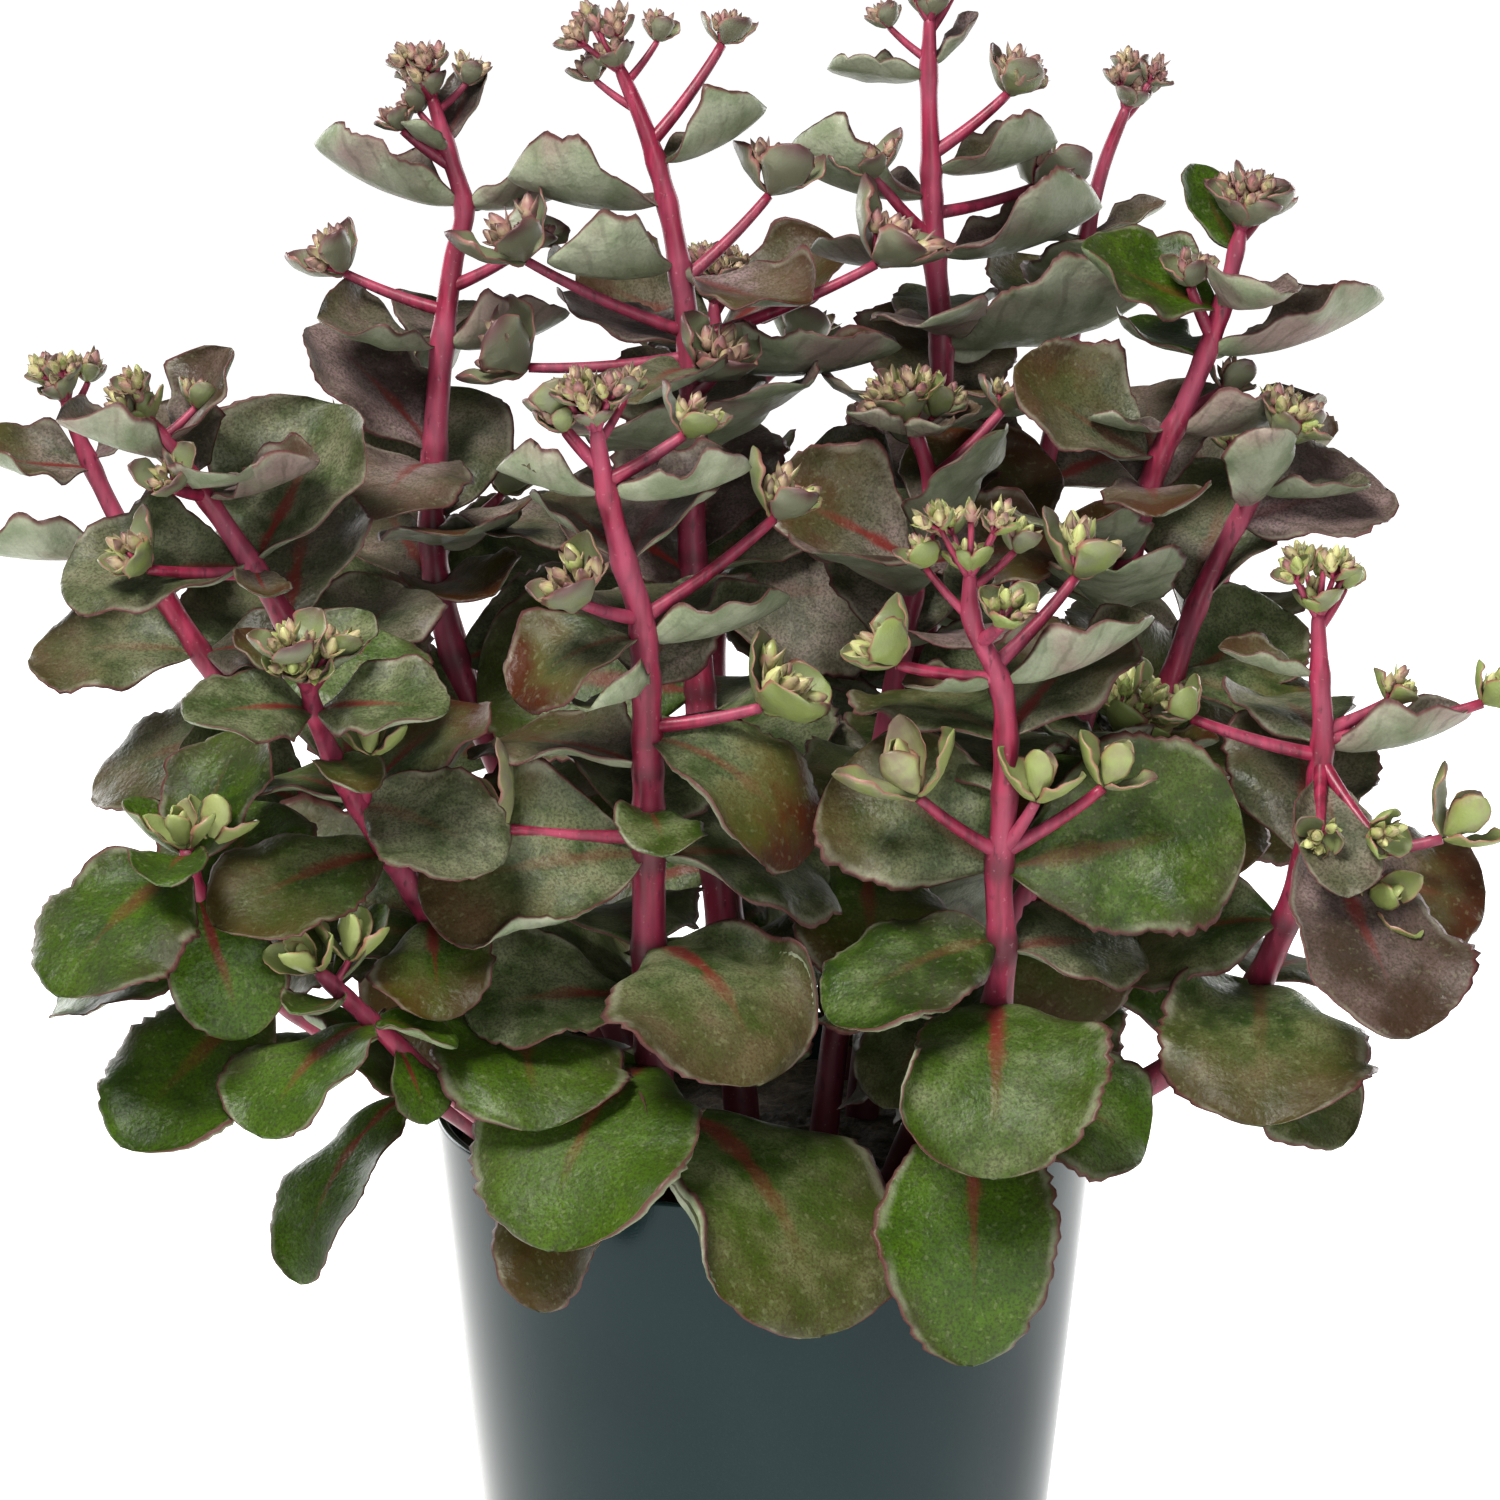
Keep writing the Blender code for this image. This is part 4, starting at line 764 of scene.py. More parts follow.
def crown_rows(route, crown, draw):
    """Short branches that open round a stem's tip, each a golden angle on from the last."""
    count, length, size = crown
    top = route[-1, 2] / MM
    rows = []
    for i in range(count):
        turn, tilt = draw.uniform(-CROWN_JITTER, CROWN_JITTER, 2)
        rows.append((top - CROWN_DROP * (i + 1), GOLDEN_ANGLE * i + CROWN_START + turn,
                     CROWN_RISE + tilt, length * (0.9 + 0.01 * turn), size))
    return rows


# %% Coarse shells that test for room
def blade_shell(blade):
    """A coarse closed shell a little larger than a blade, which tells whether it is clear."""
    u = np.linspace(SHELL_START, SHELL_END, 6)[:, None]
    v = (1 + TOOTH) * np.array([[-1, 0, 1, 1, 0, -1]])
    middle = LEAF_THICKNESS / 2 + CLEARANCE
    lift = np.array([[CLEARANCE, middle, CLEARANCE, -CLEARANCE, -middle, -CLEARANCE]])
    return tube(list(blade_surface(blade, u, v, lift, CLEARANCE)))


def head_rings(end, axis, size, sides):
    """The rings of a shell a little larger than a head."""
    return [ring(end + rise * size * axis, axis, np.full(sides, reach * size + CLEARANCE))
            for rise, reach in HEAD_SHELL]


def shoot_shell(shoot):
    """A coarse closed shell a little larger than a side shoot and its head."""
    stations = shoot_axis(shoot, np.array([SHELL_START, 0.5, 1]))
    thin = np.full(SHELL_SIDES, shoot.radius + CLEARANCE)
    rings = [ring(centre, shoot.forward, thin) for centre in stations]
    return tube(rings + head_rings(stations[-1], head_axis(shoot), shoot.size, SHELL_SIDES))


def stem_shell(stem, route):
    """A coarse closed shell a little larger than a stem and the head at its tip."""
    rings = stem_rings(stem, route, STEM_SIDES, CLEARANCE)
    return tube(rings + head_rings(route[-1], tip_axis(route), stem.crown[2] * MM, STEM_SIDES))


def rotation(axis, degrees):
    """Rodrigues' rotation matrix about a unit axis."""
    x, y, z = axis
    skew = np.array([[0, -z, y], [z, 0, -x], [-y, x, 0]])
    angle = math.radians(degrees)
    return np.eye(3) + math.sin(angle) * skew + (1 - math.cos(angle)) * (skew @ skew)


def swing(forward, turn, tilt):
    """The rotation that turns about the vertical and then tilts upwards, in degrees."""
    axis = unit(np.cross(forward, [0, 0, 1]) + np.array([1e-6, 0, 0]))
    return rotation(np.array([0, 0, 1.0]), turn) @ rotation(axis, tilt)


def turned_blade(blade, turn, tilt, size):
    """The blade swung round its stem, tilted up and resized."""
    matrix = swing(blade.forward, turn, tilt)
    forward = matrix @ blade.forward
    return blade._replace(forward=forward, up=matrix @ blade.up,
                          root=blade.root + blade.sunk * (forward - blade.forward),
                          length=size * blade.length, width=size * blade.width)


def turned_shoot(shoot, turn, tilt, size):
    """The side shoot swung round its stem, tilted up and resized."""
    matrix = swing(shoot.forward, turn, tilt)
    forward = matrix @ shoot.forward
    return shoot._replace(forward=forward, up=matrix @ shoot.up,
                          root=shoot.root + shoot.sunk * (forward - shoot.forward),
                          length=max(size * shoot.length, SHORTEST_SHOOT), size=size * shoot.size)


def turned(profile, sides):
    """A closed solid turned about +Z from (radius, height) points, bottom to top on its outside."""
    points, rings = [], []
    for radius, height in profile:
        count = 1 if radius < LEAST_RADIUS else sides
        angles = np.arange(count) * 2 * math.pi / sides
        rings.append(list(range(len(points), len(points) + count)))
        points += [(radius * math.cos(a), radius * math.sin(a), height) for a in angles]
    faces = []
    for low, high in zip(rings, rings[1:]):
        for j in range(sides):
            k = (j + 1) % sides
            if len(low) > 1:
                faces.append((low[j], low[k], high[k % len(high)]))
            if len(high) > 1:
                faces.append((low[j % len(low)], high[k], high[j]))
    for end, step in ((rings[0], -1), (rings[-1], 1)):
        if len(end) > 1:
            faces.append(tuple(end[::step]))
    return np.array(points), faces


def pot_shell():
    """The pot's outer wall and rim and the soil, with a little room round them."""
    room = CLEARANCE
    inner = POT_TOP_RADIUS - POT_WALL - room
    return turned([(0, 0), (POT_BASE_RADIUS + room, 0), (POT_TOP_RADIUS + room, POT_HEIGHT + room),
                   (inner, POT_HEIGHT + room), (inner, SOIL_TOP + room),
                   (0, SOIL_TOP + room)], 48)


print("the pot's shell has", len(pot_shell()[0]), "points")


# %% Grow everything
class Thicket:
    """What has grown so far, as shells that new growth must stay clear of."""

    def __init__(self):
        self.shells = []
        self.crossed = 0

    def add(self, owner, root, shell):
        """Keeps a shell with its owner, its root, its box and a tree of its faces."""
        points, faces = shell
        tree = BVHTree.FromPolygons(points.tolist(), faces)
        self.shells.append((owner, root, points.min(axis=0), points.max(axis=0), tree))

    def clear(self, owner, root, shell, own_too):
        """Whether a shell meets nothing of another stem, nor its own stem's growth further off."""
        points, faces = shell
        low, high = points.min(axis=0), points.max(axis=0)
        tree = None
        for other, other_root, other_low, other_high, other_tree in self.shells:
            if (low > other_high).any() or (high < other_low).any():
                continue
            if other == owner and (not own_too or other_root is None
                                   or np.linalg.norm(root - other_root) < SAME_NODE):
                continue
            tree = tree or BVHTree.FromPolygons(points.tolist(), faces)
            if tree.overlap(other_tree):
                return False
        return True


def moves():
    """Ways to bend a blade or shoot clear, the smallest first: (turn, tilt, size)."""
    steps = [(turn, tilt) for turn in TURNS for tilt in TILTS]
    steps.sort(key=lambda step: (abs(step[0]) + abs(step[1]), step))
    return [(turn, tilt, size) for size in SIZES for turn, tilt in steps]


def grow(thicket, owner, item, shell_of, bend, tries):
    """The item as it is or bent clear of what has grown, or None where it has no room."""
    for own_too in (True, False):
        for turn, tilt, size in tries:
            moved = bend(item, turn, tilt, size)
            shell = shell_of(moved)
            if thicket.clear(owner, moved.root, shell, own_too):
                thicket.add(owner, moved.root, shell)
                thicket.crossed += not own_too
                return moved
    return None


def all_growth():
    """Every stem's route, blades and side shoots, bent clear of each other: front stems first."""
    draw = np.random.default_rng(SEED)
    thicket = Thicket()
    thicket.add("pot", None, pot_shell())
    routes = {name: smooth_route(stem.route) for name, stem in STEMS.items()}
    for name, stem in STEMS.items():
        thicket.add(name, None, stem_shell(stem, routes[name]))
    tries = moves()
    growth = {}
    for name, stem in STEMS.items():
        route = routes[name]
        blades, shoots = [], []
        for row in stem.leaves:
            blade = new_blade(stem, route, row, draw.uniform(0.01, 0.06), draw.random())
            blades.append(grow(thicket, name, blade, blade_shell, turned_blade, tries))
        for row in stem.shoots:
            shoot = new_shoot(stem, route, row, SHOOT_RADIUS)
            shoots.append(grow(thicket, name, shoot, shoot_shell, turned_shoot, tries))
        for row in crown_rows(route, stem.crown, draw):
            shoot = new_shoot(stem, route, row, CROWN_RADIUS)
            shoots.append(grow(thicket, name, shoot, shoot_shell, turned_shoot, tries))
        for row in pair_rows(stem.pairs, draw):
            blade = new_blade(stem, route, row, draw.uniform(0.02, 0.06), draw.random())
            blades.append(grow(thicket, name, blade, blade_shell, turned_blade, tries))
        found = [item for item in blades + shoots if item is not None]
        print(name, "grew", len(found), "of", len(blades) + len(shoots))
        growth[name] = (route, [b for b in blades if b], [s for s in shoots if s])
    print(thicket.crossed, "cross their own stem's growth")
    return growth


growth = all_growth()
print(sum(len(blades) for _, blades, _ in growth.values()), "leaves in all")

# %% [markdown]
# ## Meshes from grids
#
# Each fine surface is a closed grid: rings of points from one end to the other, with a single
# point that closes each end. All points of a grid are worked out at once as an array, and one
# list of faces serves every grid of the same size. Values that the finishes need, such as how far
# along its leaf a point lies, are stored with the points as attributes.

# %% Closed grids
def grid_faces(rings, sides):
    """Quads and end triangles of a closed grid whose two poles are its last two points."""
    i, j = np.meshgrid(np.arange(rings - 1), np.arange(sides), indexing="ij")
    k = (j + 1) % sides
    quads = np.stack([i * sides + j, i * sides + k, (i + 1) * sides + k, (i + 1) * sides + j], -1)
    j = np.arange(sides)
    k = (j + 1) % sides
    first, last = rings * sides, rings * sides + 1
    top = (rings - 1) * sides
    ends = np.concatenate([np.stack([np.full(sides, first), k, j], -1),
                           np.stack([np.full(sides, last), top + j, top + k], -1)])
    return quads.reshape(-1, 4), ends


class Patchwork:
    """Closed grids gathered into one mesh, with named values at every point."""

    def __init__(self):
        self.points, self.quads, self.ends, self.values, self.count = [], [], [], [], 0

    def add(self, grid, poles, **values):
        """Adds rings of points (rings, sides, 3) and their two poles. A value is one number for
        the whole grid, one for each ring, or one for each point of it and then the two poles."""
        rings, sides = grid.shape[:2]
        quads, ends = grid_faces(rings, sides)
        self.points.append(np.vstack([grid.reshape(-1, 3), poles]))
        self.quads.append(quads + self.count)
        self.ends.append(ends + self.count)
        total = rings * sides + 2
        self.values.append({name: spread_value(value, rings, sides) for name, value in values.items()})
        self.count += total

    def make(self, name, material):
        """The mesh object, smooth all over."""
        points = np.vstack(self.points)
        quads = np.vstack(self.quads)
        ends = np.vstack(self.ends)
        mesh = bpy.data.meshes.new(name)
        mesh.vertices.add(len(points))
        mesh.vertices.foreach_set("co", points.ravel())
        mesh.loops.add(quads.size + ends.size)
        mesh.loops.foreach_set("vertex_index", np.concatenate([quads.ravel(), ends.ravel()]))
        mesh.polygons.add(len(quads) + len(ends))
        starts = np.concatenate([4 * np.arange(len(quads)), quads.size + 3 * np.arange(len(ends))])
        mesh.polygons.foreach_set("loop_start", starts)
        mesh.update(calc_edges=True)
        for key in self.values[0]:
            attribute = mesh.attributes.new(key, "FLOAT", "POINT")
            attribute.data.foreach_set("value", np.concatenate([v[key] for v in self.values]))
        mesh.shade_smooth()
        mesh.materials.append(material)
        obj = bpy.data.objects.new(name, mesh)
        bpy.context.scene.collection.objects.link(obj)
        return obj

    def triangles(self):
        """Two triangles for each quad and one for each end face."""
        return sum(2 * len(q) for q in self.quads) + sum(len(e) for e in self.ends)


def spread_value(value, rings, sides):
    """A value at every point of a grid and its poles."""
    value = np.asarray(value, float)
    if value.ndim == 0:
        return np.full(rings * sides + 2, float(value))
    if value.ndim == 1:
        return np.concatenate([np.repeat(value, sides), value[[0, -1]]])
    return np.concatenate([value.ravel(), [value[0].mean(), value[-1].mean()]])


print("a grid of 4 rings by 6 has", sum(map(len, grid_faces(4, 6))), "faces")

# %% [markdown]
# ## Fine leaves
#
# An orpine leaf is fleshy: thick along its midrib and thinner at its edge, which is cut into small
# blunt teeth of uneven size. The teeth are the arches of a sine, so each has a round back and a
# sharp notch, and they fade out towards the stem. The section is a closed loop of stations, close
# together at the two edges and at the midrib, where the form turns fastest. Some edges roll over
# towards the upper face, as a turned hem does, and show the paler under face.

# %% Stations round a leaf's section
UPPER = np.array([1, 0.96, 0.87, 0.72, 0.52, 0.3, 0.11, 0,
                  -0.11, -0.3, -0.52, -0.72, -0.87, -0.96, -1])
LOWER = np.array([-0.94, -0.76, -0.45, -0.14, 0.14, 0.45, 0.76, 0.94])
SMALL_UPPER = np.array([1, 0.9, 0.6, 0.2, -0.2, -0.6, -0.9, -1])
SMALL_LOWER = np.array([-0.85, -0.4, 0.4, 0.85])
TOOTH_DEPTH = 0.09
TEETH = 15
MIDRIB_HALF = 0.95 * MM
GROOVE = 0.3 * MM


def leaf_stations(count):
    """Stations from root to tip, closer together near both ends, where the outline turns fastest."""
    t = np.linspace(0, 1, count + 2)[1:-1]
    return 0.55 * t + 0.45 * (0.5 - 0.5 * np.cos(math.pi * t))


def teeth(u, v, phase, count, depth):
    """How far a leaf's edge stands out at u: arches of |sin| whose spacing and height wander."""
    wander = 0.35 * np.sin(9 * u + 7 * phase + v) + 0.2 * np.sin(23 * u + 11 * phase)
    arch = np.abs(np.sin(math.pi * (count * u + wander + phase))) ** 0.8
    height = 0.7 + 0.3 * np.sin(17 * u + 5 * phase + 2 * v)
    fade = np.clip((u - 0.12) / 0.2, 0, 1) * np.clip((1.0 - u) / 0.06, 0, 1)
    return depth * arch * height * fade * np.abs(v) ** 8


def uneven(u, v, blade):
    """How far a leaf's outline strays from an even one: each side swells in places of its own."""
    side = np.tanh(4 * v)
    stray = (0.07 * np.sin(5.5 * u + 6 * blade.phase + 1.7 * side)
             + 0.045 * np.sin(13 * u + 9 * blade.phase - 2.3 * side)
             + 0.015 * np.sin(37 * u + 5 * blade.phase + 3.1 * side)
             + 0.05 * side * np.sin(2 * math.pi * blade.phase))
    return blade.width * stray * half_width(u) * v**2


def curl(u, v, blade):
    """How far the edges curl up or down and ripple: nothing at the midrib, most at the edge. Each
    side does so in places of its own."""
    side = np.tanh(4 * v)
    fade = np.sin(math.pi * np.clip(u, 0, 1)) ** 0.5
    rim = np.clip((np.abs(v) - 0.45) / 0.55, 0, 1) ** 2
    roll = 0.25 * np.sin(4.1 * u + 7 * blade.phase + 2.1 * side)
    ripple = 0.08 * np.sin(2 * math.pi * (2.7 * u + 3 * blade.phase) + 1.9 * side)
    return blade.width * fade * (rim * roll + v**2 * ripple)


def buckle(u, v, blade):
    """Shallow hollows between the side veins."""
    veins = np.sin(26 * u - 9 * np.abs(v) + 9 * blade.phase)
    return 0.010 * blade.width * veins * (1 - v**2) * np.abs(v)


FOLD_RADIUS = 3.5 * MM
MOST_FOLD = math.radians(135)


def fold_over(u, v, blade, side, start, lift):
    """Lift and spread of an edge that rolls over towards the upper face. At a distance d past the
    fold line the surface has turned by a = d / r, up to the most it turns, and then it runs on
    straight for e: shift = (r - h) sin a + e cos a - d and height = r - (r - h) cos a + e sin a,
    where h is the point's own height over the middle surface."""
    line = start + (1 - start) * np.clip(1.6 * np.abs(u - 0.55) - 0.1, 0, 1)
    past = np.clip(side * v - line, 0, 1) * blade.width * half_width(u)
    angle = np.minimum(past / FOLD_RADIUS, MOST_FOLD)
    further = past - angle * FOLD_RADIUS
    shift = (FOLD_RADIUS - lift) * np.sin(angle) + further * np.cos(angle) - past
    height = FOLD_RADIUS - (FOLD_RADIUS - lift) * np.cos(angle) + further * np.sin(angle)
    return height, shift / np.maximum(np.abs(v), 0.2)


def leaf_grid(blade, rings, small=False, thick=1.0, fold=None):
    """A leaf's closed surface on a grid of stations: lift = half thickness, out at the midrib and
    0 at the edges, and spread = the teeth."""
    upper, lower = (SMALL_UPPER, SMALL_LOWER) if small else (UPPER, LOWER)
    u = leaf_stations(rings)[:, None]
    v = np.concatenate([upper, lower])[None, :]
    side = np.concatenate([np.ones(len(upper)), -np.ones(len(lower))])[None, :]
    body = np.minimum(1, half_width(u) / 0.45)
    half = MIDRIB_HALF * thick * (1 - 0.35 * u) * body * (1 - v**2) ** 0.32
    groove = np.where(side > 0, GROOVE, -0.6 * GROOVE) * np.exp(-(v / 0.09) ** 2) * (1 - u)
    lift = side * half - groove * body * thick
    spread = teeth(u, v, blade.phase, TEETH if not small else 7, TOOTH_DEPTH * blade.width)
    spread = spread + uneven(u, v, blade)
    if fold:
        lift, shift = fold_over(u, v, blade, *fold, lift)
        spread = spread * (1 - 0.6 * (shift < 0)) + shift
    lift = lift + curl(u, v, blade) + buckle(u, v, blade)
    grid = blade_surface(blade, u, v, lift, spread)
    poles = blade_surface(blade, np.array([0.0, 1.0]), 0.0)
    along = np.broadcast_to(u, grid.shape[:2])
    across = np.broadcast_to(v, grid.shape[:2])
    face = np.broadcast_to(np.where(np.abs(v) > 0.99, 0.5, 0.5 + 0.5 * side), grid.shape[:2])
    return grid[:, ::-1], poles, along[:, ::-1], across[:, ::-1], face[:, ::-1]


def leaflet_grid(blade):
    """A narrow fleshy leaflet with a pointed tip: half width = sin(pi u^0.8), on few stations."""
    u = np.linspace(0.08, 0.95, 6)[:, None]
    angle = -2 * math.pi * np.arange(6)[None, :] / 6
    v = np.cos(angle)
    side = np.sin(angle)
    slim = np.sin(math.pi * u**0.8) / half_width(u)
    lift = 0.16 * blade.width * side * np.sin(math.pi * u**0.8)
    grid = blade_surface(blade, u, v * slim, lift)
    poles = blade_surface(blade, np.array([0.0, 1.0]), 0.0)
    shape = grid.shape[:2]
    return (grid, poles, np.broadcast_to(u, shape), np.broadcast_to(v, shape),
            np.broadcast_to(0.5 + 0.5 * side, shape))


print("a large leaf's section has", len(UPPER) + len(LOWER), "points")

# %% [markdown]
# ## Which leaves are green and which are bronze
#
# The lowest leaves keep their green, and light turns the upper ones grey-green flushed with
# mauve. So a leaf's bronze share rises with the height of its root, and a few leaves have a share
# of their own, found by their height and direction. A second number is how red-brown the blade is
# from its middle to its tip, as old leaves are.

# %% Tints leaf by leaf
GREEN_BELOW = 190 * MM
BRONZE_ABOVE = 300 * MM
LEAF_TINTS = {
    "stem_centre_front": [(175, 306, 0.30, 0.22), (187, 228, 0.02, 0.08), (217, 304, 0.45, 0.30),
                          (241, 196, 0.50, 0.35), (270, 328, 0.50, 0.85), (294, 205, 0.60, 0.85)],
    "stem_front_right": [(207, 266, 0.25, 0.10), (184, 268, 0.0, 0.0), (241, 168, 0.45, 0.30),
                         (241, 355, 0.18, 0.12)],
    "stem_right_front": [(246, 290, 0.95, 0.2), (238, 352, 0.9, 0.5), (207, 264, 0.35, 0.3)],
    "stem_left_front": [(281, 222, 0.5, 0.1), (281, 336, 0.45, 0.1)],
    "stem_left_back": [(322, 168, 0.95, 0.1)],
    "stem_right_upper": [(378, 118, 0.1, 0.0), (364, 178, 0.1, 0.1), (353, 128, 0.1, 0.0)],
    "stem_far_left": [(304, 58, 0.55, 0.1), (304, 184, 0.55, 0.1)],
    "stem_centre_back": [(348, 352, 0.75, 0.8)],
}
LEAF_FOLDS = {
    "stem_centre_front": [(218, 304, -1, 0.66), (241, 205, -1, 0.58), (270, 328, 1, 0.80),
                          (175, 306, 1, 0.70)],
    "stem_front_right": [(207, 266, 1, 0.62), (242, 168, 1, 0.66)],
    "stem_right_front": [(245, 290, 1, 0.72)],
}
FOLDED_PHASE = 0.80
FOLDED_LENGTH = 30 * MM
NARROW_FOLD = 0.86
SAME_HEIGHT = 6
SAME_DIRECTION = 35
STEM_BRONZE = {"stem_low_left": -0.5, "stem_low_left_small": -0.6, "stem_left_front": -0.1,
               "stem_right_front": 0.2, "stem_far_left": 0.1, "stem_far_left_back": 0.1,
               "stem_right_low": 0.15}


def listed(table, name, blade):
    """A leaf's own values in a table, found by the leaf's height and direction, or None."""
    centre = blade.root[2] / MM
    azimuth = math.degrees(math.atan2(blade.forward[1], blade.forward[0])) % 360
    for height, direction, *values in table.get(name, ()):
        off = abs((azimuth - direction + 180) % 360 - 180)
        if abs(centre - height) < SAME_HEIGHT and off < SAME_DIRECTION:
            return values
    return None


def leaf_fold(name, blade):
    """The side of a leaf whose edge rolls over and where across the leaf that starts, or None. A few
    leaves are listed, and of the rest one in five has a narrow fold."""
    fold = listed(LEAF_FOLDS, name, blade)
    if fold is None and blade.length > FOLDED_LENGTH and blade.phase > FOLDED_PHASE:
        fold = (1 if blade.phase > (1 + FOLDED_PHASE) / 2 else -1, NARROW_FOLD)
    return fold


def leaf_tint(name, blade, draw):
    """A leaf's bronze share and the share of red-brown towards its tip."""
    own = listed(LEAF_TINTS, name, blade)
    if own:
        return own
    rise = (blade.root[2] - GREEN_BELOW) / (BRONZE_ABOVE - GREEN_BELOW)
    bronze = np.clip(0.15 + 0.55 * rise, 0.12, 0.8) + STEM_BRONZE.get(name, 0)
    worn = draw.beta(1.2, 3) * (0.2 if name.startswith("stem_low") else 0.7)
    return float(np.clip(bronze + draw.normal(0, 0.12), 0, 1)), float(worn)

# %% [markdown]
# ## Heads of buds
#
# Every branch ends in a head: two or three toothed bracts that cup a cluster of buds. A bud is an
# egg with five low ribs, where its sepals meet, and it sits on a short stalk. At the top of a
# stem the stalks are longer and open like a fan. Low on the plant the tips are still young, and
# end in a rosette of spoon-shaped leaflets. All of it is made from two shapes, the small leaf and
# the egg, placed by a few random draws.

# %% Buds and stalks
BUD_RINGS = 6
BUD_SIDES = 10
STALK_RADIUS = 0.6 * MM
BRACT_THICK = 0.55
SMALL_HEAD = 7 * MM
LARGE_HEAD = 10 * MM
SHORTEST_BUD = 5.2 * MM
LONGEST_BUD = 8.0 * MM
CROWN_STALKS = 7
TIERS = 4


def bud_grid(root, axis, length, radius, turn):
    """An egg along an axis: r = radius sqrt(sin(pi t^0.8)) (1 - 0.35 t), with five low ribs."""
    t = np.linspace(0.06, 0.94, BUD_RINGS)[:, None]
    angle = 2 * math.pi * np.arange(BUD_SIDES)[None, :] / BUD_SIDES + turn
    profile = radius * np.sqrt(np.sin(math.pi * t**0.8)) * (1 - 0.35 * t)
    reach = profile * (1 + 0.10 * np.cos(5 * angle) * t)
    first, second = cross_axes(axis)
    grid = (root + (length * t)[..., None] * axis + (reach * np.cos(angle))[..., None] * first
            + (reach * np.sin(angle))[..., None] * second)
    return grid, np.array([root, root + length * axis]), np.broadcast_to(t, reach.shape), angle


def tube_grid(centres, radii, sides):
    """Rings round a run of centres, each square to the run's direction there."""
    axes = np.gradient(centres, axis=0)
    axes /= np.linalg.norm(axes, axis=1)[:, None]
    side = np.cross(axes, ANY_DIRECTION)
    side /= np.linalg.norm(side, axis=1)[:, None]
    other = np.cross(axes, side)
    angle = 2 * math.pi * np.arange(sides) / sides
    grid = (centres[:, None] + radii[:, None, None] * (np.cos(angle)[None, :, None] * side[:, None]
            + np.sin(angle)[None, :, None] * other[:, None]))
    return grid, centres[[0, -1]]


def curved_run(start, direction, length, rise, count=6):
    """Centres of a short stalk that leaves in a direction and curves upwards."""
    t = np.linspace(0, 1, count)[:, None]
    return start + length * (t * direction + rise * t**2 * UPWARD)


print("a bud has", BUD_RINGS * BUD_SIDES + 2, "points")

# %% One head
def small_blade(root, forward, axis, length, width, cup, bend, phase):
    """A bract: a small leaf whose upper face looks along the head's axis."""
    up = unit(axis - (axis @ forward) * forward)
    return Blade(root=root, forward=forward, up=up, length=length, width=width / 2,
                 bend=math.radians(bend), cup=math.radians(cup), wave=0.05, phase=phase, sunk=0.0)


def add_bract(piece, blade, rings, tint, draw, kind=0.0):
    """A bract as one closed grid of the piece."""
    grid, poles, along, across, face = leaf_grid(blade, rings, True, BRACT_THICK)
    piece.add(grid, poles, along=along, across=across, upper=face, tone=draw.random(),
              bronze=float(np.clip(tint + draw.normal(0, 0.15), 0, 1)), kind=kind)


def add_head(piece, wood, end, axis, size, lobes, tint, draw):
    """Bracts out to the head's lobes, and buds on short stalks inside them."""
    first, second = cross_axes(axis)
    for lobe in range(lobes):
        angle = 2 * math.pi * lobe / lobes + draw.normal(0, 0.12)
        out = math.cos(angle) * first + math.sin(angle) * second
        forward = unit(out + 0.35 * axis)
        length = size * draw.uniform(1.4, 1.95)
        blade = small_blade(end, forward, axis, length, length * draw.uniform(0.72, 0.9),
                            draw.uniform(40, 62), draw.uniform(-65, -30), draw.random())
        add_bract(piece, blade, 15 if size > SMALL_HEAD else 10, tint, draw)
    count = 4 if size < SMALL_HEAD else 5 if size < LARGE_HEAD else 7
    for i in range(count):
        lean = 0.15 if i == 0 else draw.uniform(0.5, 1.1)
        angle = math.radians(GOLDEN_ANGLE) * i + draw.normal(0, 0.25)
        out = math.cos(angle) * first + math.sin(angle) * second
        heading = unit(axis + lean * out)
        run = curved_run(end, heading, size * draw.uniform(0.35, 0.75), 0.1, 4)
        wood.add(*tube_grid(run, np.full(4, STALK_RADIUS), 5), young=1.0)
        length = float(np.clip(0.72 * size, SHORTEST_BUD, LONGEST_BUD)) * draw.uniform(0.85, 1.15)
        add_bud(piece, run[-1], unit(heading + 0.3 * axis), length, tint, draw)


def add_rosette(piece, end, axis, size, tint, draw):
    """A young tip: crossed pairs of spoon-shaped leaflets, shorter and steeper tier by tier."""
    first, second = cross_axes(axis)
    for tier in range(TIERS):
        for side in (0, 1):
            angle = math.pi * (0.5 * tier + side) + draw.normal(0, 0.15)
            out = math.cos(angle) * first + math.sin(angle) * second
            forward = unit(out + (0.35 + 0.75 * tier) * axis)
            length = size * (1.85 - 0.35 * tier) * draw.uniform(0.85, 1.1)
            blade = small_blade(end + 0.8 * tier * MM * axis, forward, axis, length, 0.66 * length,
                                draw.uniform(45, 65), draw.uniform(-60, -35), draw.random())
            add_bract(piece, blade, 13, tint, draw, 0.12 + 0.22 * tier)


